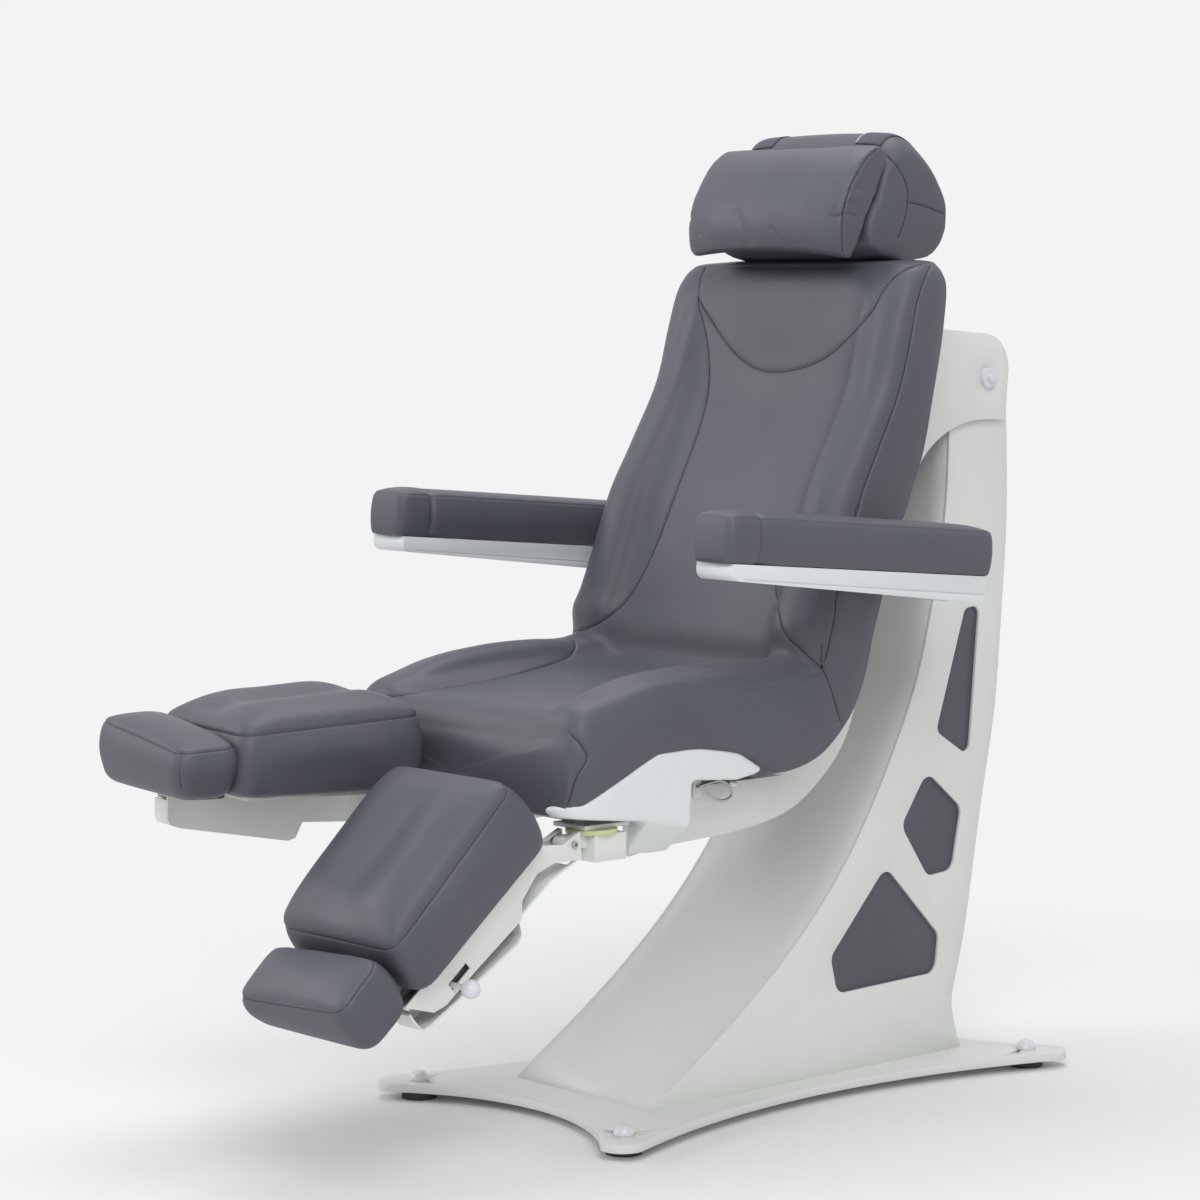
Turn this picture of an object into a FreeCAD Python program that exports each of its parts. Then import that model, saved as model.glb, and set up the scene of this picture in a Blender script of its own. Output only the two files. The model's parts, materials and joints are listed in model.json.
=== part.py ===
import FreeCAD, Part
import math
import os
import re
from types import SimpleNamespace
from FreeCAD import Placement, Rotation, Vector

# Podiatry chair, in millimetres.
# The origin lies on the floor under the middle of the base, +Z is up, -Y is where the patient's feet point
# and +X is the patient's left.

SIZES = {
    # Base plate and its feet
    "foot_place_x": 220,
    "foot_place_y": 405,
    "foot_width": 50,
    "foot_height": 10,
    "base_lift": 13,
    "base_thick": 12,
    "ear_radius": 32,
    "ear_beyond_foot": 20,
    "waist_front": 369,
    "waist_side": 194,
    "spindle_width": 12,
    "dome_width": 30,
    "dome_height": 14,
    # Column
    "column_half": 145,
    "column_front": 289,
    "column_depth": 723,
    "column_rise": 960,
    "cheek_thick": 5,
    "skin_thick": 3,
    "cover_thick": 2,
    "panel_thick": 3,
    "panel_overlap": 8,
    "small_window_round": 13,
    "window_round": 20,
    # Lift
    "mast_half": 65,
    "mast_depth": 50,
    "mast_wall": 4,
    "mast_inset": 15,
    "mast_length": 535,
    "frame_bar": 40,
    "pad_thick": 3,
    "lift_body_width": 36,
    "lift_body_length": 440,
    "lift_rod_width": 18,
    "lift_rod_length": 565,
    "motor_width": 56,
    "motor_length": 96,
    "motor_ahead": 58,
    "gear_height": 26,
    "lift_foot_rise": 310,
    "control_length": 180,
    "control_height": 74,
    "control_half_width": 90,
    "inlet_width": 28,
    "inlet_height": 20,
    "inlet_depth": 14,
    "inlet_rise": 73,
    # Pivot at the head of the mast
    "pivot_rise": 43,
    "pivot_back": 53,
    "head_half": 134,
    "head_height": 72,
    "pivot_width": 26,
    "carrier_thick": 6,
    "carrier_gap": 5,
    "bush_wall": 2,
    "cap_width": 30,
    "cap_height": 7,
    "nub_width": 13,
    "nub_height": 6,
    # Seat and back
    "hip_ahead": 445,
    "hip_drop": 528,
    "seat_depth": 445,
    "seat_thick": 147,
    "seat_half": 261,
    "seat_valley": 42,
    "back_height": 690,
    "back_rake": 267,
    "back_valley": 40,
    "board_thick": 8,
    "pan_half_width": 221,
    "back_board_half": 205,
    # Frame under the seat
    "rail_width": 29,
    "rail_height": 28,
    "rail_length": 385,
    "tube_width": 30,
    "tube_clear": 1.5,
    "fairing_outer_width": 246,
    "fairing_wall": 20,
    "fairing_inner_width": 200,
    "fairing_depth": 105,
    # Tilt drive
    "tilt_body_width": 42,
    "tilt_body_length": 250,
    "tilt_rod_width": 20,
    "tilt_draw_length": 41,
    "tilt_anchor_ahead": 135,
    "tilt_anchor_drop": 16,
    "tilt_eye_slack": 4,
    "tilt_pin_width": 12,
    "tilt_lug_half": 9,
    # Armrests
    "arm_place": 345,
    "arm_length": 508,
    "arm_width": 76,
    "arm_pad_thick": 62,
    "arm_tray_thick": 38,
    "arm_tray_drop": 24,
    "arm_tray_wall": 3,
    "arm_tray_front_thick": 22,
    "arm_tray_reach_length": 470,
    "arm_tray_tail_length": 18,
    "arm_tray_bead_height": 11,
    "arm_tray_groove_width": 2,
    "arm_tray_groove_depth": 1.2,
    "arm_slope_degrees": 5,
    "arm_shaft_width": 25,
    "arm_shaft_clear": 13.8,
    "arm_pivot_drop": 281,
    # Headrest
    "bar_width": 12,
    "bar_place": 56,
    "bar_length": 290,
    "sleeve_width": 20,
    "sleeve_length": 120,
    "roll_half": 160,
    "roll_depth": 174,
    "roll_height": 182,
    "roll_behind_back": 82,
    "pillow_half": 160,
    "pillow_gap": 4,
    "pillow_height": 160,
    "pillow_lean": 70,
    "pillow_crown": 18,
    "strap_width": 52,
    "strap_place": 84,
    "strap_thick": 2,
    # Leg rests
    "leg_place": 200,
    "leg_hinge_reach": 50,
    "ring_width": 70,
    "ring_thick": 6,
    "mount_plate_thick": 6,
    "block_height": 36,
    "block_length": 56,
    "block_half": 28,
    "tongue_half": 12,
    "swivel_pin_width": 18,
    "knuckle_round": 20,
    "knuckle_width": 17,
    "arm_half": 23,
    "arm_wall": 3,
    "hinge_pin_width": 10,
    "leg_arm_length": 334,
    "leg_arm_depth": 78,
    "calf_board_rise": 46,
    "calf_board_thick": 5,
    "calf_start": 41,
    "calf_length": 268,
    "calf_width": 242,
    "calf_outboard": 50,
    "calf_thick": 104,
    "calf_crown": 16,
    "foot_pad_start": 342,
    "foot_pad_length": 76,
    "foot_pad_thick": 92,
    "foot_pad_base": 50,
    "foot_slide_travel": 30,
    "slide_width": 34,
    "slide_thick": 8,
    "slide_length": 185,
    "slot_height": 11,
    "stud_width": 8,
    "knob_width": 25,
    "knob_reach": 60,
    "left_swivel_degrees": 0,
    "right_swivel_degrees": 8,
    "left_lower_degrees": 40,
    "right_lower_degrees": -2,
    # Release loops
    "wire_width": 4,
    "loop_length": 62,
    "loop_height": 24,
    "tab_length": 16,
    # Fits
    "seat_fit": 0.3,
    "running_fit": 0.05,
    "cut_overrun": 10,
}

doc = FreeCAD.newDocument("podiatry_chair")
sheet = doc.addObject("Spreadsheet::Sheet", "sizes")
for row, (alias, value) in enumerate(SIZES.items(), start=1):
    sheet.set(f"A{row}", alias)
    sheet.set(f"B{row}", str(value))
    sheet.setAlias(f"B{row}", alias)
doc.recompute()
s = SimpleNamespace(**{alias: float(sheet.get(alias)) for alias in SIZES})

nodes = {}


def bind(item, **expressions):
    """Tie properties of an object to the sheet; underscores in a key stand for dots."""
    for key, text in expressions.items():
        bound = re.sub(
            r"[a-z][a-z_]+", lambda word: ("sizes." if word.group() in SIZES else "") + word.group(), text,
        )
        item.setExpression(key.replace("_", "."), bound)
    return item


def place(item, at):
    """Tie the corner or centre of an object to three sheet expressions."""
    return bind(item, Placement_Base_x=at[0], Placement_Base_y=at[1], Placement_Base_z=at[2])


def block(length, width, height, at):
    """A box from three sheet expressions and its lowest corner."""
    return place(bind(doc.addObject("Part::Box", "block"), Length=length, Width=width, Height=height), at)


def round_bar(diameter, height, at, axis="z"):
    """A cylinder whose first end is centred on the given place, along +X, +Y or +Z."""
    bar = doc.addObject("Part::Cylinder", "bar")
    turn = {"x": Rotation(Vector(0, 1, 0), 90), "y": Rotation(Vector(1, 0, 0), -90), "z": Rotation()}[axis]
    bar.Placement = Placement(Vector(), turn)
    return place(bind(bar, Radius=f"({diameter}) / 2", Height=height), at)


def cut(base, *tools):
    """The base with each tool taken away."""
    for tool in tools:
        result = doc.addObject("Part::Cut", "cut")
        result.Base = base
        result.Tool = tool
        base = result
    return base


def fuse(*items):
    """Several overlapping or touching solids as one."""
    result = doc.addObject("Part::MultiFuse", "fuse")
    result.Shapes = list(items)
    return result


def common(first, second):
    """What two solids share."""
    result = doc.addObject("Part::Common", "common")
    result.Base = first
    result.Tool = second
    return result


def group(*items):
    """Separate solids that share one node."""
    result = doc.addObject("Part::Compound", "group")
    result.Links = list(items)
    return result


def node(label, item, placement=None):
    """Register a finished sub-part under the name of its file."""
    item.Label = label
    if placement is not None:
        item.Placement = placement
    nodes[label] = item
    return item


def solid_feature(shape, name="form"):
    """A document object that holds a shape made by Part's own functions."""
    feature = doc.addObject("Part::Feature", name)
    feature.Shape = shape
    return feature


def curve_through(points):
    """A smooth edge through hand chosen points."""
    curve = Part.BSplineCurve()
    curve.interpolate([Vector(a, b, 0) for a, b in points])
    return curve


def line(start, end):
    """A straight edge of a sketch."""
    return Part.LineSegment(Vector(*start, 0), Vector(*end, 0))


def arc(start, through, end):
    """A round edge of a sketch."""
    return Part.Arc(Vector(*start, 0), Vector(*through, 0), Vector(*end, 0))


def polyline(points):
    """Straight edges from each point to the next."""
    return [line(a, b) for a, b in zip(points, points[1:])]


def loop_of(points):
    """Straight edges round a closed outline."""
    return polyline(list(points) + [points[0]])


def rounded(points, radius):
    """A closed outline with every corner rounded, as lines and tangent arcs."""
    edges = []
    stops = []
    count = len(points)
    for index in range(count):
        corner = Vector(*points[index], 0)
        before = (Vector(*points[index - 1], 0) - corner).normalize()
        after = (Vector(*points[(index + 1) % count], 0) - corner).normalize()
        half = before.getAngle(after) / 2
        reach = radius / math.tan(half)
        bisector = (before + after).normalize()
        middle = corner + bisector * (radius / math.sin(half) - radius)
        stops.append((corner + before * reach, middle, corner + after * reach))
    for index, (start, middle, end) in enumerate(stops):
        edges.append(Part.Arc(start, middle, end))
        edges.append(Part.LineSegment(end, stops[(index + 1) % count][0]))
    return edges


def offset_line(points, distance):
    """The points moved sideways, to the right of the direction of travel."""
    moved = []
    for index, (a, b) in enumerate(points):
        before = points[max(index - 1, 0)]
        after = points[min(index + 1, len(points) - 1)]
        first = Vector(a - before[0], b - before[1], 0)
        second = Vector(after[0] - a, after[1] - b, 0)
        normals = [Vector(v.y, -v.x, 0).normalize() for v in (first, second) if v.Length > 0]
        mean = sum(normals[1:], normals[0]).normalize()
        stretch = distance / max(mean.dot(normals[0]), math.cos(math.pi / 3))
        moved.append((a + mean.x * stretch, b + mean.y * stretch))
    return moved


def levelled(points, low, high):
    """The points with both ends run out or trimmed to two heights along their own directions."""
    (y0, z0), (y1, z1) = points[:2]
    (y2, z2), (y3, z3) = points[-2:]
    start = (y0 + (low - z0) * (y1 - y0) / (z1 - z0), low)
    end = (y3 + (high - z3) * (y3 - y2) / (z3 - z2), high)
    return [start, *points[1:-1], end]


def sketch_in(body, role, edges, level="0"):
    """A sketch on one of the body's own origin planes, lifted along its normal."""
    sketch = body.newObject("Sketcher::SketchObject", "outline")
    plane = [item for item in body.Origin.OriginFeatures if item.Role == role][0]
    sketch.AttachmentSupport = [(plane, "")]
    sketch.MapMode = "FlatFace"
    for edge in edges:
        sketch.addGeometry(edge)
    bind(sketch, AttachmentOffset_Base_z=level)
    return sketch


def plate(edges, thick, level="0", role="YZ_Plane", holes=()):
    """A padded outline with pockets right through it; returns its body."""
    body = doc.addObject("PartDesign::Body", "plate")
    pad = body.newObject("PartDesign::Pad", "pad")
    pad.Profile = sketch_in(body, role, edges, level)
    bind(pad, Length=thick)
    for hole in holes:
        pocket = body.newObject("PartDesign::Pocket", "hole")
        pocket.Profile = sketch_in(body, role, hole, f"{level} - cut_overrun")
        pocket.Reversed = True
        bind(pocket, Length=f"{thick} + 2 * cut_overrun")
    return body


def circle(centre, diameter):
    """A round edge for a hole."""
    return [Part.Circle(Vector(*centre, 0), Vector(0, 0, 1), diameter / 2)]


def side_range(side, low, high):
    """Where a plate between two distances from the middle starts, and its thickness."""
    return (low if side > 0 else f"-({high})"), f"({high}) - ({low})"


SIDES = (("left", 1), ("right", -1))

# Main places, worked out from the sheet
base_top = s.base_lift + s.base_thick
column_y = -s.column_front
COLUMN_FRONT_SHARES = (
    (0, 0), (0.207, 0.099), (0.416, 0.224), (0.546, 0.332), (0.647, 0.451), (0.730, 0.577),
    (0.781, 0.706), (0.813, 0.826), (0.823, 0.923), (0.824, 1),
)
COLUMN_REAR_SHARES = (
    (0.874, 0), (0.853, 0.044), (0.846, 0.076), (0.856, 0.112), (0.873, 0.156), (0.905, 0.276),
    (0.939, 0.415), (0.968, 0.524), (0.984, 0.647), (1, 0.823), (1, 0.899), (0.9945, 1),
)
WINDOW_SHARES = (
    ((0.8755, 0.6885), (0.921, 0.692), (0.892, 0.456), (0.7925, 0.502)),
    ((0.766, 0.442), (0.6915, 0.3625), (0.770, 0.278), (0.845, 0.282), (0.871, 0.378)),
    ((0.647, 0.304), (0.4895, 0.178), (0.509, 0.120), (0.797, 0.125), (0.806, 0.184)),
)
column_top = base_top + s.column_rise


def on_column(shares):
    """Shares of the column's depth and rise as places in the side view."""
    return [(column_y + a * s.column_depth, base_top + b * s.column_rise) for a, b in shares]


column_front_line = on_column(COLUMN_FRONT_SHARES)
column_rear_line = on_column(COLUMN_REAR_SHARES)
mast_y = column_front_line[-1][0] + s.mast_inset
pivot_y = mast_y + s.pivot_back
pivot_z = column_top + s.pivot_rise
hip_y = pivot_y - s.hip_ahead
hip_z = pivot_z - s.hip_drop


# Base
def base_outline():
    """The star shaped base: four rounded ears joined by hollow sides."""
    ear_x = s.foot_place_x + s.ear_beyond_foot
    ear_y = s.foot_place_y + s.ear_beyond_foot
    lean = math.radians(20)
    front_off = Vector(-math.sin(lean), math.cos(lean), 0) * s.ear_radius
    side_off = Vector(math.cos(lean), -math.sin(lean), 0) * s.ear_radius
    tip_off = Vector(1, 1, 0).normalize() * s.ear_radius
    edges = []
    for turn_x, turn_y in ((1, 1), (-1, 1), (-1, -1), (1, -1)):
        side_end = ((ear_x + side_off.x) * turn_x, (ear_y + side_off.y) * turn_y)
        tip = ((ear_x + tip_off.x) * turn_x, (ear_y + tip_off.y) * turn_y)
        front_end = ((ear_x + front_off.x) * turn_x, (ear_y + front_off.y) * turn_y)
        if turn_x == turn_y:
            edges.append(arc(side_end, tip, front_end))
            edges.append(arc(front_end, (0, s.waist_front * turn_y), (-front_end[0], front_end[1])))
        else:
            edges.append(arc(front_end, tip, side_end))
            edges.append(arc(side_end, (s.waist_side * turn_x, 0), (side_end[0], -side_end[1])))
    return edges


FOOT_PLACES = {"front_left": (1, -1), "front_right": (-1, -1), "rear_left": (1, 1), "rear_right": (-1, 1)}
spindle_hole = s.spindle_width + 2 * s.running_fit
spindle_holes = [
    circle((x * s.foot_place_x, y * s.foot_place_y), spindle_hole) for x, y in FOOT_PLACES.values()
]
node("base_plate", plate(base_outline(), "base_thick", "base_lift", "XY_Plane", spindle_holes))

domes = []
for name, (x, y) in FOOT_PLACES.items():
    at_x = f"{x} * foot_place_x"
    at_y = f"{y} * foot_place_y"
    disc = round_bar("foot_width", "foot_height", (at_x, at_y, "0"))
    spindle = round_bar(
        "spindle_width", "base_lift + base_thick - foot_height / 2", (at_x, at_y, "foot_height / 2"),
    )
    node(f"levelling_foot_{name}", fuse(disc, spindle))
    on_base = (at_x, at_y, "base_lift + base_thick")
    ball = place(bind(doc.addObject("Part::Sphere", "dome"), Radius="dome_width / 2"), on_base)
    crown = round_bar("dome_width + cut_overrun", "dome_height", on_base)
    domes.append(common(ball, crown))
node("foot_caps", group(*domes))


# Column
def column_outline():
    """The sail shaped side of the column."""
    front = curve_through(column_front_line)
    rear = curve_through(column_rear_line)
    return [
        front,
        line(column_front_line[-1], column_rear_line[-1]),
        rear,
        line(column_rear_line[0], column_front_line[0]),
    ]


window_rounds = (s.small_window_round, s.window_round, s.window_round)
windows = [rounded(on_column(shares), size) for shares, size in zip(WINDOW_SHARES, window_rounds)]
for name, side in SIDES:
    level, thick = side_range(side, "column_half - cheek_thick", "column_half")
    node(f"column_cheek_{name}", plate(column_outline(), thick, level, holes=windows))

inner = "column_half - cheek_thick"
panels = []
for shares, size in zip(WINDOW_SHARES, window_rounds):
    corners = on_column(shares)
    centre = [sum(values) / len(corners) for values in zip(*corners)]
    grown = []
    for y, z in corners:
        away = Vector(y - centre[0], z - centre[1], 0)
        away = away * (1 + s.panel_overlap / away.Length * math.sqrt(2))
        grown.append((centre[0] + away.x, centre[1] + away.y))
    for side in (1, -1):
        level, thick = side_range(side, f"{inner} - panel_thick", inner)
        panels.append(plate(rounded(grown, size), thick, level))
node("window_panels", group(*panels))

skin_outer = [(y, z) for y, z in column_front_line]
skin_inner = levelled(offset_line(skin_outer, s.skin_thick), base_top, column_top)
node("column_front_skin", plate(
    [
        curve_through(skin_outer), line(skin_outer[-1], skin_inner[-1]),
        curve_through(skin_inner), line(skin_inner[0], skin_outer[0]),
    ],
    f"2 * ({inner}) - 2 * seat_fit", f"-({inner}) + seat_fit",
))
cover_inner = levelled(offset_line(column_rear_line, -s.cover_thick), base_top, column_top)
cover = plate(
    [
        curve_through(column_rear_line), line(column_rear_line[-1], cover_inner[-1]),
        curve_through(cover_inner), line(cover_inner[0], column_rear_line[0]),
    ],
    f"2 * ({inner}) - 2 * seat_fit", f"-({inner}) + seat_fit",
)
inlet_y = column_rear_line[2][0]
inlet_x = "column_half - cheek_thick - 2 * inlet_width"
inlet_z = "base_lift + base_thick + inlet_rise - inlet_height / 2"
inlet_hole = block(
    "inlet_width + 2 * seat_fit", "inlet_depth + 2 * cut_overrun", "inlet_height + 2 * seat_fit",
    (f"{inlet_x} - seat_fit", f"{inlet_y} - cut_overrun - inlet_depth / 2", f"{inlet_z} - seat_fit"),
)
node("column_rear_cover", cut(cover, inlet_hole))
node("power_inlet", block(
    "inlet_width", "inlet_depth", "inlet_height", (inlet_x, f"{inlet_y} - inlet_depth / 2", inlet_z),
))


def depth_on(points, height):
    """The depth at which a line of the side view reaches a height."""
    for (y0, z0), (y1, z1) in zip(points, points[1:]):
        if min(z0, z1) <= height <= max(z0, z1) and z0 != z1:
            return y0 + (y1 - y0) * (height - z0) / (z1 - z0)
    return points[-1][0]


# Lift: a mast slides in two guide frames inside the column
FRAME_TOP_SHARES = (0.98, 0.8125)
frame_clear = s.skin_thick + s.mast_wall
frames = []
pads = []
for share in FRAME_TOP_SHARES:
    top = base_top + share * s.column_rise
    bottom = top - s.frame_bar
    front = max(depth_on(column_front_line, bottom), depth_on(column_front_line, top)) + frame_clear
    rear = min(depth_on(column_rear_line, bottom), depth_on(column_rear_line, top)) - frame_clear
    outer = block(
        f"2 * ({inner}) - 2 * seat_fit", repr(rear - front), "frame_bar",
        (f"-({inner}) + seat_fit", repr(front), repr(bottom)),
    )
    hole = block(
        "2 * mast_half + 2 * pad_thick", "mast_depth + 2 * pad_thick", "frame_bar + 2 * cut_overrun",
        ("-mast_half - pad_thick", f"{mast_y} - pad_thick", f"{bottom} - cut_overrun"),
    )
    frames.append(cut(outer, hole))
    liner = block(
        "2 * mast_half + 2 * pad_thick", "mast_depth + 2 * pad_thick", "frame_bar",
        ("-mast_half - pad_thick", f"{mast_y} - pad_thick", repr(bottom)),
    )
    bore = block(
        "2 * mast_half + 2 * running_fit", "mast_depth + 2 * running_fit", "frame_bar + 2 * cut_overrun",
        ("-mast_half - running_fit", f"{mast_y} - running_fit", f"{bottom} - cut_overrun"),
    )
    pads.append(cut(liner, bore))
lift_y = mast_y + s.mast_depth / 2
beam_rear = depth_on(column_rear_line, s.lift_foot_rise) - frame_clear
frames.append(block(
    f"2 * ({inner}) - 2 * seat_fit", f"{beam_rear} - ({lift_y} - frame_bar / 4)", "frame_bar / 2",
    (f"-({inner}) + seat_fit", f"{lift_y} - frame_bar / 4", "lift_foot_rise - frame_bar / 2"),
))
node("column_crossmembers", group(*frames))
node("mast_guide_pads", group(*pads))

gearbox = block(
    "motor_width", "motor_ahead + lift_body_width / 2", "gear_height",
    ("-motor_width / 2", f"{lift_y} - motor_ahead", "lift_foot_rise"),
)
motor = round_bar(
    "motor_width", "gear_height + motor_length", ("0", f"{lift_y} - motor_ahead", "lift_foot_rise"),
)
tube = round_bar("lift_body_width", "lift_body_length", ("0", repr(lift_y), "lift_foot_rise"))
bore = round_bar(
    "lift_rod_width + 2 * running_fit", "lift_body_length",
    ("0", repr(lift_y), "lift_foot_rise + gear_height"),
)
node("lift_actuator", cut(fuse(tube, gearbox, motor), bore))

mast_top = column_top + s.seat_fit * 6
mast_outer = block(
    "2 * mast_half", "mast_depth", "mast_length", ("-mast_half", repr(mast_y), f"{mast_top} - mast_length"),
)
mast_inner = block(
    "2 * mast_half - 2 * mast_wall", "mast_depth - 2 * mast_wall", "mast_length + 2 * cut_overrun",
    ("-mast_half + mast_wall", f"{mast_y} + mast_wall", f"{mast_top} - mast_length - cut_overrun"),
)
node("mast", cut(mast_outer, mast_inner))
node("lift_actuator_rod", round_bar(
    "lift_rod_width", "lift_rod_length", ("0", repr(lift_y), f"{mast_top} - lift_rod_length"),
))

tilt_y = pivot_y - s.tilt_anchor_ahead
tilt_z = pivot_z - s.tilt_anchor_drop
head = block(
    "2 * head_half", "mast_depth + 2 * mast_inset", "head_height",
    ("-head_half", f"{mast_y} - mast_inset / 2", repr(mast_top)),
)
lugs = []
for side in (1, -1):
    lug_in = "tilt_body_width / 2 + seat_fit"
    level, thick = side_range(side, lug_in, f"{lug_in} + tilt_lug_half")
    arm = block(
        thick, f"{mast_y - tilt_y}", "tilt_body_width",
        (level, repr(tilt_y), f"{tilt_z} - tilt_body_width / 2"),
    )
    eye = round_bar("tilt_body_width", thick, (level, repr(tilt_y), repr(tilt_z)), "x")
    lugs.extend([arm, eye])
pivot_bore = round_bar(
    "pivot_width", "2 * head_half + 2 * cut_overrun",
    ("-head_half - cut_overrun", repr(pivot_y), repr(pivot_z)), "x",
)
anchor_bore = round_bar(
    "tilt_pin_width + 2 * running_fit", "tilt_body_width + 4 * tilt_lug_half",
    ("-tilt_body_width / 2 - 2 * tilt_lug_half", repr(tilt_y), repr(tilt_z)), "x",
)
node("mast_head", cut(fuse(head, *lugs), pivot_bore, anchor_bore))
carrier_in = "column_half + carrier_gap"
carrier_out = "column_half + carrier_gap + carrier_thick"
node("pivot_shaft", round_bar(
    "pivot_width", f"2 * ({carrier_out})", (f"-({carrier_out})", repr(pivot_y), repr(pivot_z)), "x",
))

# The line under the seat and behind the back, and the line of the bolster crests, as shares.
# Each station is: under line, crest line, half width, hollow in the middle.
SEAT_STATION_SHARES = (
    ((1.031, -0.136), (1.024, 0.46), 0.84, 0.12),
    ((0.944, -0.109), (0.948, 0.735), 0.92, 0.35),
    ((0.831, 0.048), (0.831, 0.844), 0.95, 0.70),
    ((0.663, 0.279), (0.679, 0.952), 0.965, 1),
    ((0.494, 0.293), (0.494, 0.993), 0.98, 1),
    ((0.326, 0.204), (0.326, 1), 0.99, 1),
    ((0.180, -0.041), (0.202, 0.993), 1, 1),
    ((0, 0.040), (0.112, 1.007), 1, 1),
    ((-0.139, 0.381), (0.067, 1.054), 1, 1),
)
BACK_STATION_SHARES = (
    ((0.232, 0.081), (-0.112, 0.225), 1, 1),
    ((0.356, 0.164), (-0.109, 0.275), 1, 1),
    ((0.431, 0.249), (-0.052, 0.322), 0.99, 1),
    ((0.554, 0.372), (0.045, 0.420), 0.98, 1),
    ((0.704, 0.513), (0.157, 0.533), 0.967, 0.95),
    ((0.824, 0.623), (0.300, 0.630), 0.955, 0.85),
    ((0.910, 0.752), (0.483, 0.752), 0.945, 0.60),
    ((0.974, 0.870), (0.573, 0.865), 0.94, 0.40),
    ((1, 0.971), (0.648, 0.961), 0.93, 0.25),
    ((0.974, 1.009), (0.749, 1.003), 0.90, 0.10),
)


def on_seat(share):
    """A place in the side view from shares of the seat's depth and thickness."""
    return (hip_y - share[0] * s.seat_depth, hip_z + share[1] * s.seat_thick)


def on_back(share):
    """A place in the side view from shares of the back's rake and height."""
    return (hip_y + share[0] * s.back_rake, hip_z + share[1] * s.back_height)


SHELL_IN_SHARE = 0.955
CREST_SHARES = ((0.95, 0.88), (0.86, 1), (0.66, 0.95))


def cushion_section(under, crest, half, hollow):
    """One cross section: flat below, sides that bulge, two bolsters and a hollow between them."""
    base = Vector(0, *under)
    rise = Vector(0, *crest) - base
    tall = rise.Length

    def at(across, share):
        return base + Vector(across * half, 0, 0) + rise * share

    hollow_share = 1 - hollow / tall
    (shoulder, shoulder_up), (top, top_up), (inside, inside_up) = CREST_SHARES
    inside_up = 1 - (1 - inside_up) * min(1, hollow / (tall * (1 - inside_up)))
    edges = [Part.LineSegment(at(-SHELL_IN_SHARE, 0), at(SHELL_IN_SHARE, 0))]
    edges.append(Part.Arc(at(SHELL_IN_SHARE, 0), at(1, 0.45), at(shoulder, shoulder_up)))
    edges.append(Part.Arc(at(shoulder, shoulder_up), at(top, top_up), at(inside, inside_up)))
    edges.append(Part.Arc(at(inside, inside_up), at(0, hollow_share), at(-inside, inside_up)))
    edges.append(Part.Arc(at(-inside, inside_up), at(-top, top_up), at(-shoulder, shoulder_up)))
    edges.append(Part.Arc(at(-shoulder, shoulder_up), at(-1, 0.45), at(-SHELL_IN_SHARE, 0)))
    return Part.Wire([edge.toShape() for edge in edges])


def cushion(stations, to_place, valley, lift=0):
    """A loft through the stations; lift moves the first one along the path to leave a joint."""
    wires = []
    for index, (under, crest, half, hollow) in enumerate(stations):
        under_at = to_place(under)
        crest_at = to_place(crest)
        if index == 0 and lift:
            under_at = (under_at[0] + lift, under_at[1] + lift)
            crest_at = (crest_at[0] + lift, crest_at[1] + lift)
        wires.append(cushion_section(under_at, crest_at, half * s.seat_half, hollow * valley))
    return Part.makeLoft(wires, True, True)


node("seat_cushion", solid_feature(cushion(SEAT_STATION_SHARES, on_seat, s.seat_valley), "seat_cushion"))
back_shape = cushion(BACK_STATION_SHARES, on_back, s.back_valley, s.seat_fit)
node("back_cushion", solid_feature(back_shape, "back_cushion"))

seat_under = [on_seat(station[0]) for station in SEAT_STATION_SHARES[1:]]
back_behind = [on_back(station[0]) for station in BACK_STATION_SHARES[:-1]]


def board(points):
    """The outline of a board that lies under a line of stations."""
    near = offset_line(points, s.seat_fit)
    far = offset_line(points, s.seat_fit + s.board_thick)
    return loop_of(near + far[::-1])


whole_under = seat_under[2:-1] + back_behind
behind_line = offset_line(whole_under, s.board_thick + 3 * s.seat_fit)
shaft_z = pivot_z - s.arm_pivot_drop
shaft_y = depth_on(behind_line, shaft_z) + s.arm_shaft_width / 2 + s.arm_shaft_clear
node("seat_pan", plate(board(seat_under), "2 * pan_half_width", "-pan_half_width"))
node("back_board", plate(board(back_behind[1:]), "2 * back_board_half", "-back_board_half"))

# Carrier: two sickle plates from under the seat up to the pivot
CARRIER_EDGE_SHARES = (
    (-0.600, -0.213), (-0.274, -0.191), (-0.016, -0.170), (0.103, -0.142), (0.191, -0.0985), (0.256, -0.055),
    (0.312, -0.006), (0.360, 0.061), (0.391, 0.131), (0.431, 0.218), (0.503, 0.409), (0.607, 0.617),
    (0.670, 0.752), (0.737, 0.814), (0.818, 0.854), (0.921, 0.879), (1.011, 0.8826), (1.094, 0.879),
)
CARRIER_HEAD_SHARES = ((1.108, 1.019), (1.076, 1.091), (0.993, 1.123), (0.791, 1.136))


def on_carrier(shares):
    """Shares of the way from the hip to the pivot as places in the side view."""
    return [(hip_y + a * s.hip_ahead, hip_z + b * s.hip_drop) for a, b in shares]


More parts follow.
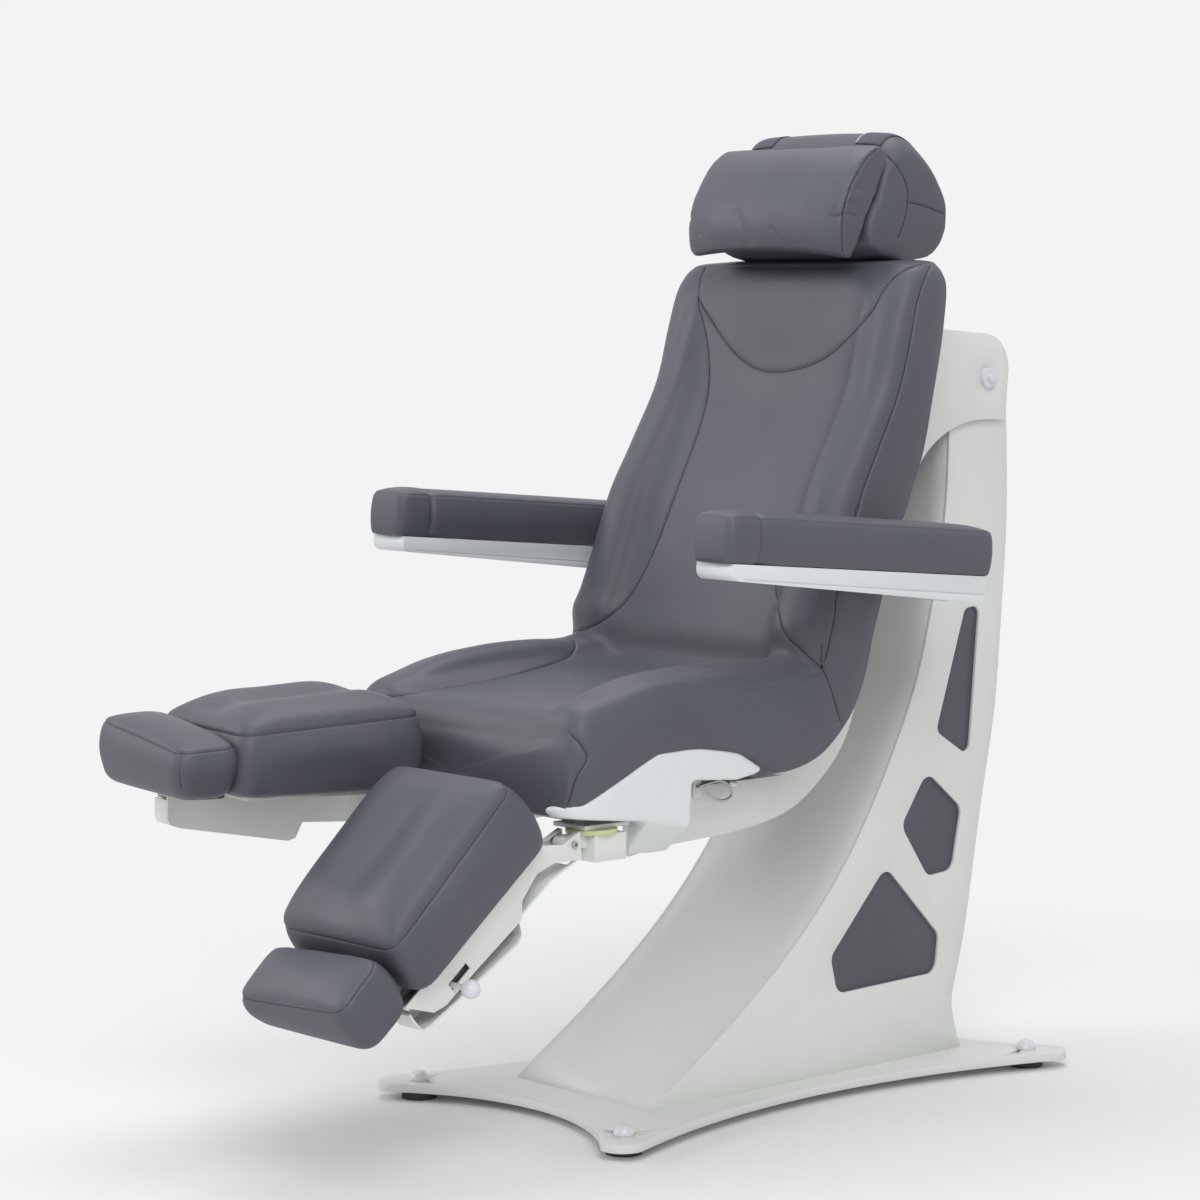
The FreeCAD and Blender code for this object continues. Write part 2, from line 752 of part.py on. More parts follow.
carrier_edge = on_carrier(CARRIER_EDGE_SHARES)
head_low, head_corner, head_high, head_front = on_carrier(CARRIER_HEAD_SHARES)
head_level = head_front[1]
carrier_top_line = [point for point in behind_line if point[1] < head_level - s.seat_fit]
carrier_top_line.append((depth_on(behind_line, head_level), head_level))
carrier_edges = [
    curve_through(carrier_edge),
    line(carrier_edge[-1], head_low),
    arc(head_low, head_corner, head_high),
    line(head_high, head_front),
    line(head_front, carrier_top_line[-1]),
    *polyline(carrier_top_line[::-1]),
    line(carrier_top_line[0], carrier_edge[0]),
]
bush_hole = s.pivot_width + 2 * s.bush_wall
carrier_holes = [
    circle((pivot_y, pivot_z), bush_hole),
    circle((shaft_y, shaft_z), s.arm_shaft_width + 2 * s.running_fit),
]
for name, side in SIDES:
    level, thick = side_range(side, carrier_in, carrier_out)
    node(f"carrier_plate_{name}", plate(carrier_edges, thick, level, holes=carrier_holes))

bushes = []
for side in (1, -1):
    level, thick = side_range(side, carrier_in, f"{carrier_out} + seat_fit")
    ring = round_bar("pivot_width + 2 * bush_wall", thick, (level, repr(pivot_y), repr(pivot_z)), "x")
    inside = round_bar(
        "pivot_width + 2 * running_fit", f"{thick} + cut_overrun",
        (f"{level} - cut_overrun" if side > 0 else level, repr(pivot_y), repr(pivot_z)), "x",
    )
    cap_start, cap_thick = side_range(side, f"{carrier_out} + seat_fit", f"{carrier_out} + cap_height")
    nub_start, nub_thick = side_range(
        side, f"{carrier_out} + cap_height / 2", f"{carrier_out} + cap_height + nub_height",
    )
    cap = round_bar("cap_width", cap_thick, (cap_start, repr(pivot_y), repr(pivot_z)), "x")
    nub = round_bar("nub_width", nub_thick, (nub_start, repr(pivot_y), repr(pivot_z)), "x")
    bushes.append(fuse(cut(ring, inside), cap, nub))
node("pivot_bushes", group(*bushes))

# Cross tubes between the carrier plates, the middle one with the lug of the tilt drive
CROSS_TUBE_SHARES = ((0.075, -0.075), (0.365, 0.262))
UPPER_TUBE_SHARE = 0.720
LUG_SHARE = (0.445, 0.262)
upper_tube_z = hip_z + UPPER_TUBE_SHARE * s.hip_drop
upper_tube = (depth_on(behind_line, upper_tube_z) + s.tube_width / 2 + s.tube_clear, upper_tube_z)
tubes = []
for y, z in on_carrier(CROSS_TUBE_SHARES) + [upper_tube]:
    tubes.append(round_bar("tube_width", f"2 * ({carrier_in})", (f"-({carrier_in})", repr(y), repr(z)), "x"))
(lug_y, lug_z), = on_carrier((LUG_SHARE,))
middle_y = on_carrier(CROSS_TUBE_SHARES)[1][0]
fork = [tubes[1]]
fork_out = "tilt_eye_slack + tilt_rod_width"
for side in (1, -1):
    level, thick = side_range(side, f"{fork_out} - tilt_lug_half", fork_out)
    fork.append(block(
        thick, repr(lug_y - middle_y), "tube_width * 0.8",
        (level, repr(middle_y), f"{lug_z} - tube_width * 0.4"),
    ))
    fork.append(round_bar("tube_width * 0.8", thick, (level, repr(lug_y), repr(lug_z)), "x"))
fork.append(round_bar(
    "tilt_pin_width", f"2 * ({fork_out})", (f"-({fork_out})", repr(lug_y), repr(lug_z)), "x",
))
tubes[1] = fuse(*fork)
node("carrier_crosstubes", group(*tubes))

# Tilt drive, built upright at its upper eye and then leaned to its lower eye
reach = math.hypot(lug_y - tilt_y, lug_z - tilt_z)
lean = math.degrees(math.atan2(lug_y - tilt_y, tilt_z - lug_z))
tilt_place = Placement(Vector(0, tilt_y, tilt_z), Rotation(Vector(1, 0, 0), lean))
tilt_case = round_bar("tilt_body_width", "tilt_body_length", ("0", "0", "-tilt_body_length"))
tilt_eye = round_bar("tilt_body_width", "tilt_body_width", ("-tilt_body_width / 2", "0", "0"), "x")
tilt_pin_bore = round_bar(
    "tilt_pin_width", "tilt_body_width + 2 * cut_overrun",
    ("-tilt_body_width / 2 - cut_overrun", "0", "0"), "x",
)
tilt_rod_bore = round_bar(
    "tilt_rod_width + 2 * running_fit", "tilt_body_length - tilt_body_width / 2",
    ("0", "0", "-tilt_body_length"),
)
tilt_pin = round_bar(
    "tilt_pin_width", "tilt_body_width + 2 * tilt_lug_half",
    ("-tilt_body_width / 2 - tilt_lug_half", "0", "0"), "x",
)
node("tilt_actuator", fuse(cut(fuse(tilt_case, tilt_eye), tilt_rod_bore), tilt_pin), tilt_place)
rod_low = s.tilt_eye_slack * 3 - reach
rod_high = -s.tilt_body_width / 2 - s.seat_fit - s.tilt_draw_length
rod = round_bar("tilt_rod_width", repr(rod_high - rod_low), ("0", "0", repr(rod_low)))
rod_eye = round_bar(
    "tilt_rod_width + 2 * tilt_eye_slack + tilt_pin_width / 2", "tilt_rod_width * 0.8",
    ("-tilt_rod_width * 0.4", "0", repr(-reach)), "x",
)
rod_hole = round_bar(
    "tilt_pin_width + 2 * tilt_eye_slack", "tilt_rod_width + 2 * cut_overrun",
    ("-tilt_rod_width / 2 - cut_overrun", "0", repr(-reach)), "x",
)
node("tilt_actuator_rod", cut(fuse(rod, rod_eye), rod_hole), tilt_place)

# Frame under the seat: side rails, a front tube and the plates that the leg rests swivel on
leg_axis_y = hip_y - s.seat_depth + s.ring_width
ring_top = hip_z - s.fairing_depth / 2 - s.seat_fit * 10
plate_top = ring_top + s.seat_fit + s.mount_plate_thick
loop_y = hip_y - s.seat_depth * 0.40
loop_z = hip_z - s.fairing_depth * 0.16 - s.wire_width / 2 - s.seat_fit
lugs_of_loops = []
loop_holes = []
frame_items = [block(
    f"2 * ({carrier_out}) + 2 * rail_width", "rail_height", "rail_height",
    (f"-({carrier_out}) - rail_width", f"{leg_axis_y} - rail_height / 2", repr(plate_top)),
)]
for side in (1, -1):
    level, thick = side_range(side, f"{carrier_out} + seat_fit", f"{carrier_out} + rail_width")
    frame_items.append(block(
        thick, "rail_length", "rail_height", (level, f"{leg_axis_y} - rail_height / 2", repr(plate_top)),
    ))
    level, thick = side_range(side, f"{carrier_out} + seat_fit", "pan_half_width")
    mount = block(
        thick, "ring_width * 1.12", "mount_plate_thick",
        (level, f"{leg_axis_y} - ring_width * 0.42", f"{ring_top} + seat_fit"),
    )
    pin_hole = round_bar(
        "swivel_pin_width + 2 * running_fit", "mount_plate_thick + 2 * cut_overrun",
        (f"{side} * leg_place", repr(leg_axis_y), f"{ring_top} - cut_overrun"),
    )
    frame_items.append(cut(mount, pin_hole))
    level, thick = side_range(side, f"{carrier_out} + seat_fit", "leg_place - wire_width")
    lug = block(
        thick, "4 * wire_width", f"{loop_z} + 2 * wire_width - ({plate_top} + rail_height / 2)",
        (level, f"{loop_y} - 2 * wire_width", f"{plate_top} + rail_height / 2"),
    )
    loop_hole = round_bar(
        "wire_width + 2 * running_fit", "leg_place", (level, repr(loop_y), repr(loop_z)), "x",
    )
    lugs_of_loops.append(lug)
    loop_holes.append(loop_hole)
node("seat_frame", cut(fuse(*frame_items, *lugs_of_loops), *loop_holes))

rings = []
for side in (1, -1):
    ring = round_bar(
        "ring_width", "ring_thick", (f"{side} * leg_place", repr(leg_axis_y), f"{ring_top} - ring_thick"),
    )
    hole = round_bar(
        "swivel_pin_width + 2 * running_fit", "ring_thick + 2 * cut_overrun",
        (f"{side} * leg_place", repr(leg_axis_y), f"{ring_top} - ring_thick - cut_overrun"),
    )
    rings.append(cut(ring, hole))
node("swivel_rings", group(*rings))

# Side fairings: a skirt that follows the seat and turns in under its front, with a block that slopes inwards
FAIRING_TIP_SHARES = ((0.242, 0.076), (0.229, 0.030), (0.242, -0.029), (0.332, -0.086), (0.521, -0.019))
FAIRING_BLOCK_OUTER_SHARES = ((0.523, -0.04), (0.530, -0.61), (0.706, -0.47), (0.712, -0.04))
FAIRING_BLOCK_INNER_SHARES = ((0.539, -0.04), (0.539, -0.99), (0.703, -0.96), (0.703, -0.04))
FAIRING_FRONT_SHARES = ((1.005, -0.330), (1.031, -0.270))
FAIRING_PLAN_SHARES = (
    (0.75, 0.10), (1, 0.10), (1, 0.87), (0.985, 0.935), (0.945, 0.98), (0.885, 1.015), (0.80, 1.035),
    (0.75, 1.04),
)


def on_fairing(shares):
    """Shares of the seat's depth and the fairing's depth as places in the side view."""
    return [(hip_y - a * s.seat_depth, hip_z + b * s.fairing_depth) for a, b in shares]


fairing_top = offset_line([on_seat(station[0]) for station in SEAT_STATION_SHARES[:6]], s.seat_fit)
block_outer = on_fairing(FAIRING_BLOCK_OUTER_SHARES)
block_inner = on_fairing(FAIRING_BLOCK_INNER_SHARES)
whole_fairing = loop_of(
    fairing_top + on_fairing(FAIRING_TIP_SHARES) + block_outer[1:-1] + on_fairing(FAIRING_FRONT_SHARES)
)
pan_line = seat_under + offset_line(seat_under, s.seat_fit + s.board_thick)
pan_front = min(y for y, z in pan_line) - 4 * s.seat_fit
for name, side in SIDES:
    level, thick = side_range(side, "pan_half_width + 4 * seat_fit", "fairing_outer_width")
    skirt = plate(whole_fairing, thick, level)
    level, thick = side_range(side, "fairing_inner_width", "fairing_outer_width")
    nose = common(plate(whole_fairing, thick, level), block(
        "2 * fairing_outer_width", "seat_depth", "2 * seat_thick",
        ("-fairing_outer_width", f"{pan_front} - seat_depth", f"{hip_z} - seat_thick"),
    ))
    ends = ((s.fairing_inner_width, block_inner), (s.fairing_outer_width, block_outer))
    rings = [
        Part.makePolygon([Vector(side * x, y, z) for y, z in line_of_block + line_of_block[:1]])
        for x, line_of_block in ends
    ]
    deep_block = solid_feature(Part.makeLoft(rings, True, True), "block")
    seen_from_above = [
        (side * a * s.fairing_outer_width, hip_y - b * s.seat_depth) for a, b in FAIRING_PLAN_SHARES
    ]
    plan = plate(loop_of(seen_from_above), "2 * seat_thick", f"{hip_z} - seat_thick", "XY_Plane")
    node(f"side_fairing_{name}", common(fuse(skirt, nose, deep_block), plan))

# Release loops of bent wire under the rear end of each fairing, each hinged in a lug of the frame
LOOP_SHARES = ((0, 0), (0.30, -0.55), (0.70, -1), (0.98, -0.80), (0.95, -0.36), (0.60, -0.10), (0.20, -0.02))
for name, side in SIDES:
    corners = [
        Vector(side * s.leg_place, loop_y + a * s.loop_length, loop_z + b * s.loop_height)
        for a, b in LOOP_SHARES
    ]
    runs = []
    for start, end in zip(corners, corners[1:] + corners[:1]):
        runs.append(Part.makeCylinder(s.wire_width / 2, (end - start).Length, start, end - start))
        runs.append(Part.makeSphere(s.wire_width / 2, start))
    stub = s.leg_place - s.column_half - s.carrier_gap - s.carrier_thick - s.wire_width / 2
    runs.append(Part.makeCylinder(s.wire_width / 2, stub, corners[0], Vector(-side, 0, 0)))
    tab_at = corners[3] - Vector(s.wire_width, 0, s.wire_width)
    runs.append(Part.makeBox(2 * s.wire_width, s.tab_length, 2 * s.wire_width, tab_at))
    node(f"release_loop_{name}", solid_feature(runs[0].multiFuse(runs[1:]).removeSplitter(), "loop"))

# Armrests, built level at their pivot and then sloped
node("armrest_shaft", round_bar(
    "arm_shaft_width", "2 * arm_place", ("-arm_place", repr(shaft_y), repr(shaft_z)), "x",
))
arm_place = Placement(Vector(0, shaft_y, shaft_z), Rotation(Vector(1, 0, 0), -s.arm_slope_degrees))


SIDE_IN_SHARE = 0.91


def crowned_wire(station, half, low, high, crown, bulge=0.0):
    """A section across a pad: flat below, bulging sides, a crowned top."""
    inset = half * SIDE_IN_SHARE

    def at(across, up):
        return station + Vector(across, 0, up)

    middle = (low + high) / 2
    edges = [
        Part.LineSegment(at(-inset, low), at(inset, low)),
        Part.Arc(at(inset, low), at(half + bulge, middle), at(inset, high)),
        Part.Arc(at(inset, high), at(0, high + crown), at(-inset, high)),
        Part.Arc(at(-inset, high), at(-half - bulge, middle), at(-inset, low)),
    ]
    return Part.Wire([edge.toShape() for edge in edges])


PAD_END_SHARES = (
    (0, 0.86, 0.80), (0.06, 0.97, 0.94), (0.14, 1, 1), (0.86, 1, 1), (0.94, 0.97, 0.94), (1, 0.86, 0.80),
)


def pad_form(centre_x, start_y, length, width, low, thick, crown):
    """A stuffed pad along Y whose ends draw in."""
    wires = []
    for along, across, up in PAD_END_SHARES:
        station = Vector(centre_x, start_y + along * length, 0)
        centre = low + thick / 2
        half_thick = thick / 2 * up
        wires.append(
            crowned_wire(station, width / 2 * across, centre - half_thick, centre + half_thick, crown * up)
        )
    return Part.makeLoft(wires, True, True)


tray_top = s.arm_tray_thick - s.arm_tray_drop
TRAY_IN = "arm_place - arm_width * 0.46"
TRAY_OUT = "arm_place + arm_width * 0.46"


def tray_floor(along):
    """Height of the tray's underside, which drops from the front end towards the shaft."""
    front_low = tray_top - s.arm_tray_front_thick
    share = (s.arm_tray_tail_length - along) / (s.arm_tray_tail_length + s.arm_tray_reach_length)
    return -s.arm_tray_drop + share * (front_low + s.arm_tray_drop)


def tray_outline(inset, top):
    """Side view of the tray with its length along -Y, shrunk by the inset, with a rounded front end."""
    tail = s.arm_tray_tail_length - inset
    front = -s.arm_tray_reach_length + inset
    radius = s.arm_tray_front_thick * 0.6 - inset
    middle_z = tray_floor(front + radius) + inset + radius
    turn = (front + radius * (1 - math.cos(math.pi / 4)), middle_z - radius * math.sin(math.pi / 4))
    bend = (front + radius, middle_z - radius)
    return [
        line((tail, top), (front, top)),
        line((front, top), (front, middle_z)),
        arc((front, middle_z), turn, bend),
        line(bend, (tail, tray_floor(tail) + inset)),
        line((tail, tray_floor(tail) + inset), (tail, top)),
    ]


groove_front = -s.arm_tray_reach_length + s.arm_tray_front_thick
groove_line = [
    (groove_front, tray_floor(groove_front) + s.arm_tray_groove_width),
    (s.arm_tray_tail_length + s.cut_overrun, tray_floor(s.arm_tray_tail_length) + s.arm_tray_bead_height),
]
groove_area = loop_of(groove_line + [(y, z + s.arm_tray_groove_width) for y, z in groove_line[::-1]])
for name, side in SIDES:
    start, across = side_range(side, TRAY_IN, TRAY_OUT)
    tray = plate(tray_outline(0, tray_top), across, start)
    room_start, room_across = side_range(side, f"{TRAY_IN} + arm_tray_wall", f"{TRAY_OUT} - arm_tray_wall")
    room = plate(tray_outline(s.arm_tray_wall, tray_top + s.cut_overrun), room_across, room_start)
    hub_start, hub_across = side_range(side, TRAY_IN, "arm_place + 4 * seat_fit")
    hub = block(
        hub_across, "arm_shaft_width + arm_tray_tail_length", "arm_tray_thick",
        (hub_start, "-arm_shaft_width", "-arm_tray_drop"),
    )
    shaft_start, shaft_across = side_range(
        side, "arm_place - arm_width - cut_overrun", "arm_place + seat_fit",
    )
    bore = round_bar("arm_shaft_width + 2 * running_fit", shaft_across, (shaft_start, "0", "0"), "x")
    grooves = []
    for low, high in (
        (f"{TRAY_IN} - cut_overrun", f"{TRAY_IN} + arm_tray_groove_depth"),
        (f"{TRAY_OUT} - arm_tray_groove_depth", f"{TRAY_OUT} + cut_overrun"),
    ):
        groove_start, groove_across = side_range(side, low, high)
        grooves.append(plate(groove_area, groove_across, groove_start))
    node(f"armrest_tray_{name}", cut(fuse(cut(tray, room), hub), bore, *grooves), arm_place)
    pad = pad_form(
        side * s.arm_place, -s.arm_length + s.tube_width * 1.2, s.arm_length, s.arm_width,
        s.arm_tray_thick - s.arm_tray_drop + s.seat_fit, s.arm_pad_thick, s.arm_width * 0.06,
    )
    node(f"armrest_pad_{name}", solid_feature(pad, "pad"), arm_place)

# Headrest: two bars slide in sleeves behind the back board
back_top_y, back_top_z = back_behind[-1]
bar_y = back_top_y + s.board_thick + s.sleeve_width / 2 + 4 * s.seat_fit
head_low_z = on_back((1, BACK_STATION_SHARES[-1][1][1]))[1] + s.sleeve_width * 0.5
bar_low = f"{head_low_z} + roll_height / 2 - bar_length"
sleeves = []
bars = []
for side in (1, -1):
    at_x = f"{side} * bar_place"
    sleeve = round_bar("sleeve_width", "sleeve_length", (at_x, repr(bar_y), f"{back_top_z} - sleeve_length"))
    hole = round_bar(
        "bar_width + 2 * running_fit", "sleeve_length + 2 * cut_overrun",
        (at_x, repr(bar_y), f"{back_top_z} - sleeve_length - cut_overrun"),
    )
    sleeves.append(cut(sleeve, hole))
    bars.append(round_bar("bar_width", "bar_length", (at_x, repr(bar_y), bar_low)))
node("headrest_sleeves", group(*sleeves))
node("headrest_bars", group(*bars))

ROLL_LINE_SHARES = (
    (0.02, 0.10), (0.01, 0.30), (0.14, 0.52), (0.26, 0.82), (0.385, 0.96), (0.52, 0.975), (0.72, 0.87),
    (0.90, 0.67), (1, 0.48), (1, 0.33), (0.95, 0.17), (0.80, 0.03), (0.65, 0), (0.26, 0),
)
STRAP_LINE_SHARES = ((0.30, 0.87), *ROLL_LINE_SHARES[4:10])
PILLOW_REAR_SHARES = ((-0.36, 0), (0.10, 0.38), (0.50, 0.70), (0.70, 0.94))
PILLOW_FRONT_SHARES = ((0.45, 1), (0.03, 0.88), (-0.27, 0.71), (-0.56, 0.475), (-0.64, 0.29), (-0.60, 0.03))
PILLOW_BULGE_SHARES = (0.8, 0.4, 0.1, 0, 0, 0.1)
ROLL_END_SHARES = (
    (0, 0.92, 0.86), (0.04, 0.97, 0.94), (0.10, 1, 1), (0.90, 1, 1), (0.96, 0.97, 0.94), (1, 0.92, 0.86),
)
PILLOW_END_SHARES = ((0, 0), (0.05, 0.34), (0.20, 0.80), (0.50, 1), (0.80, 0.80), (0.95, 0.34), (1, 0))
SOFT_BULGE_SHARE = 0.06


def soft_wire(x, points, bulge_share):
    """A closed outline in the side view whose edges are shallow outward arcs."""
    centre_y = sum(y for y, z in points) / len(points)
    centre_z = sum(z for y, z in points) / len(points)
    edges = []
    for (y0, z0), (y1, z1) in zip(points, points[1:] + points[:1]):
        normal = Vector(0, z1 - z0, y0 - y1)
        middle = Vector(x, (y0 + y1) / 2, (z0 + z1) / 2)
        if normal.dot(middle - Vector(x, centre_y, centre_z)) < 0:
            normal = -normal
        edges.append(Part.Arc(Vector(x, y0, z0), middle + normal * bulge_share, Vector(x, y1, z1)).toShape())
    return Part.Wire(edges)


roll_y = back_top_y - s.roll_behind_back
roll_middle = roll_y + s.roll_depth / 2


def roll_form(grow):
    """The head roll, grown by a share of its depth and height."""
    wires = []
    for along, deep, tall in ROLL_END_SHARES:
        line_here = [
            (
                roll_middle + (a * s.roll_depth - s.roll_depth / 2) * deep * grow,
                head_low_z + b * s.roll_height * tall * grow,
            )
            for a, b in ROLL_LINE_SHARES
        ]
        wires.append(soft_wire(s.roll_half * (2 * along - 1) * grow, line_here, SOFT_BULGE_SHARE))
    return solid_feature(Part.makeLoft(wires, True, True), "roll")


bar_holes = [
    round_bar("bar_width", "bar_length", (f"{side} * bar_place", repr(bar_y), bar_low)) for side in (1, -1)
]
node("head_roll", cut(roll_form(1), *bar_holes))

pillow_y = roll_y - s.pillow_gap - s.strap_thick


def on_pillow(shares):
    """Shares of the pillow's lean and height as places in the side view."""
    return [(pillow_y + a * s.pillow_lean, head_low_z + b * s.pillow_height) for a, b in shares]


wires = []
for along, crown in PILLOW_END_SHARES:
    ahead = crown * s.pillow_crown
    moved = [
        (y - ahead * (1 - share), z + ahead * share / 2)
        for (y, z), share in zip(on_pillow(PILLOW_FRONT_SHARES), PILLOW_BULGE_SHARES)
    ]
    outline = on_pillow(PILLOW_REAR_SHARES) + moved
    wires.append(soft_wire(s.pillow_half * (2 * along - 1), outline, SOFT_BULGE_SHARE / 2))
pillow = solid_feature(Part.makeLoft(wires, True, True), "pillow")
node("head_pillow", cut(pillow, roll_form(1 + 2 * s.seat_fit / s.roll_depth)))

strap_path = [(roll_y + a * s.roll_depth, head_low_z + b * s.roll_height) for a, b in STRAP_LINE_SHARES]
strap_rise = SOFT_BULGE_SHARE * s.roll_depth * 0.28 + s.seat_fit
strap_near = offset_line(strap_path, -strap_rise)
strap_far = offset_line(strap_path, -strap_rise - s.strap_thick)
straps = []
for side in (1, -1):
    level, thick = side_range(side, "strap_place", "strap_place + strap_width")
    straps.append(plate(loop_of(strap_near + strap_far[::-1]), thick, level))
node("head_straps", group(*straps))

# Leg rests, built level and straight ahead at their hinge, then lowered and swung
hinge_z = ring_top - s.ring_thick - s.seat_fit - s.block_height / 4
ARM_LOW_SHARES = (
    (0.012, -0.32), (0.17, -0.16), (0.38, -0.13), (0.41, -0.40), (0.446, -0.45), (0.94, -0.12),
    (0.985, -0.06), (1, 0.05),
)
ARM_TRIM_SHARES = (
    (0.012, -0.32), (0.12, 0.08), (0.21, 0.22), (0.33, 0.11), (0.38, -0.13), (0.67, -0.05), (0.856, -0.02),
    (0.916, 0.08), (0.985, 0.50), (1.05, 0.60), (1.05, -0.80), (0.012, -0.80),
)
board_low = s.calf_board_rise
tilt_turns = {"left": s.left_lower_degrees, "right": s.right_lower_degrees}
swing_turns = {"left": s.left_swivel_degrees, "right": s.right_swivel_degrees}


def arm_outline(inset, top):
    """Side view of the leg arm, drawn with its length along -Y, shrunk by the inset."""
    radius = s.knuckle_round - inset
    span = s.leg_arm_length
    low = [(-a * span, b * s.leg_arm_depth + inset) for a, b in ARM_LOW_SHARES]
    low[-1] = (low[-1][0] + inset, low[-1][1])
    top_start = (-radius * math.cos(math.pi / 4), radius * math.sin(math.pi / 4))
    heel = (radius * 0.9, radius * 0.3)
    tip = (-span + inset, s.calf_board_rise * 0.45)
    shoulder = -s.calf_start - s.arm_wall * 2 - inset
    return [
        line(top_start, heel),
        line(heel, low[0]),
        *polyline(low),
        line(low[-1], tip),
        line(tip, (-span + inset, top)),
        line((-span + inset, top), (shoulder, top)),
        line((shoulder, top), top_start),
    ]


for name, side in SIDES:
    swing = Rotation(Vector(0, 0, 1), side * swing_turns[name])
    axis = Vector(side * s.leg_place, leg_axis_y, 0)
    level_place = Placement(axis + swing.multVec(Vector(0, -s.leg_hinge_reach, hinge_z)), swing)
    lower = Rotation(Vector(1, 0, 0), tilt_turns[name])
    leg_place = Placement(level_place.Base, swing * lower)

    # Swivel block with its upright pin and its tongue
    block_start, block_across = side_range(side, "-block_half - 4 * seat_fit", "block_half")
    block_top = ring_top - s.ring_thick - s.seat_fit - hinge_z
    body_block = block(
        block_across, "block_length", "block_height",
        (block_start, "leg_hinge_reach - block_length / 3", f"{block_top} - block_height"),
    )
    tongue = block("2 * tongue_half", "leg_hinge_reach", "knuckle_width", (
        "-tongue_half", "0", "-knuckle_width / 2",
    ))
    knuckle = round_bar("knuckle_width", "2 * tongue_half", ("-tongue_half", "0", "0"), "x")
    pin_bore = round_bar(
        "hinge_pin_width + 2 * running_fit", "2 * tongue_half + 2 * cut_overrun",
        ("-tongue_half - cut_overrun", "0", "0"), "x",
    )
    swivel_pin = round_bar("swivel_pin_width", f"{plate_top - hinge_z} - ({block_top}) + block_height / 2", (
        "0", "leg_hinge_reach", f"{block_top} - block_height / 2",
    ))
    node(f"swivel_block_{name}", cut(fuse(body_block, tongue, knuckle, swivel_pin), pin_bore), level_place)

    # Leg arm: a folded channel with the board of the calf pad on top
    outer_arm = plate(arm_outline(0, board_low), "2 * arm_half", "-arm_half")
    inner_arm = plate(
        arm_outline(s.arm_wall, board_low + s.cut_overrun),
        "2 * arm_half - 2 * arm_wall", "-arm_half + arm_wall",
    )
    start, across = side_range(side, "-calf_width * 0.72", "calf_outboard - arm_wall * 4")
    calf_board = block(
        across, "calf_length * 0.92", "calf_board_thick",
        (start, "-calf_start - calf_length * 0.96", "calf_board_rise"),
    )
    slot_at = -(s.foot_pad_start - s.calf_outboard - s.foot_slide_travel)
    knob_v = {"left": slot_at, "right": slot_at + s.foot_slide_travel * 0.55}[name]
    slot_start, slot_across = side_range(side, "arm_half - 2 * arm_wall", "arm_half + cut_overrun")
    slot = block(
        slot_across, "foot_slide_travel + stud_width + 4 * running_fit", "slot_height",
        (slot_start, f"{slot_at} - stud_width / 2 - 2 * running_fit", "slot_height / 2"),
    )
    tail_gap = block(
        "2 * tongue_half + 8 * seat_fit", "2 * knuckle_round + cut_overrun", "4 * knuckle_round",
        ("-tongue_half - 4 * seat_fit", "-knuckle_round - 4 * seat_fit", "-2 * knuckle_round"),
    )
    pin_seat = round_bar(
        "hinge_pin_width", "2 * arm_half + 2 * cut_overrun", ("-arm_half - cut_overrun", "0", "0"), "x",
    )
    slide_gap = block(
        "slide_width + 4 * seat_fit", "leg_arm_length / 4", "2 * slide_thick + 4 * seat_fit",
        (
            "-slide_width / 2 - 2 * seat_fit", "-leg_arm_length - cut_overrun",
            "calf_board_rise - 2 * slide_thick - 2 * seat_fit",
        ),
    )
    trim_start, trim_across = side_range(side, "arm_half - 2 * arm_wall", "arm_half + cut_overrun")
    trim_outline = loop_of([(-a * s.leg_arm_length, b * s.leg_arm_depth) for a, b in ARM_TRIM_SHARES])
    trim = plate(trim_outline, trim_across, trim_start)
    channel = cut(outer_arm, inner_arm, slot, tail_gap, pin_seat, slide_gap, trim)
    node(f"leg_arm_{name}", fuse(channel, calf_board), leg_place)

    screw_start, screw_across = side_range(side, "-arm_half", "arm_half + arm_wall")
    shank = round_bar("hinge_pin_width", screw_across, (screw_start, "0", "0"), "x")
    socket_start, socket_across = side_range(side, "arm_half", "arm_half + arm_wall + cut_overrun")
    socket = round_bar("hinge_pin_width / 2", socket_across, (socket_start, "0", "0"), "x")
    node(f"leg_hinge_pin_{name}", cut(shank, socket), leg_place)

    calf_low = s.calf_board_rise + s.calf_board_thick + s.seat_fit
    centre_x = side * (s.calf_outboard - s.calf_width / 2)
    calf = pad_form(
        centre_x, -s.calf_start - s.calf_length, s.calf_length, s.calf_width,
        calf_low, s.calf_thick, s.calf_crown,
    )
    node(f"calf_pad_{name}", solid_feature(calf, "calf"), leg_place)

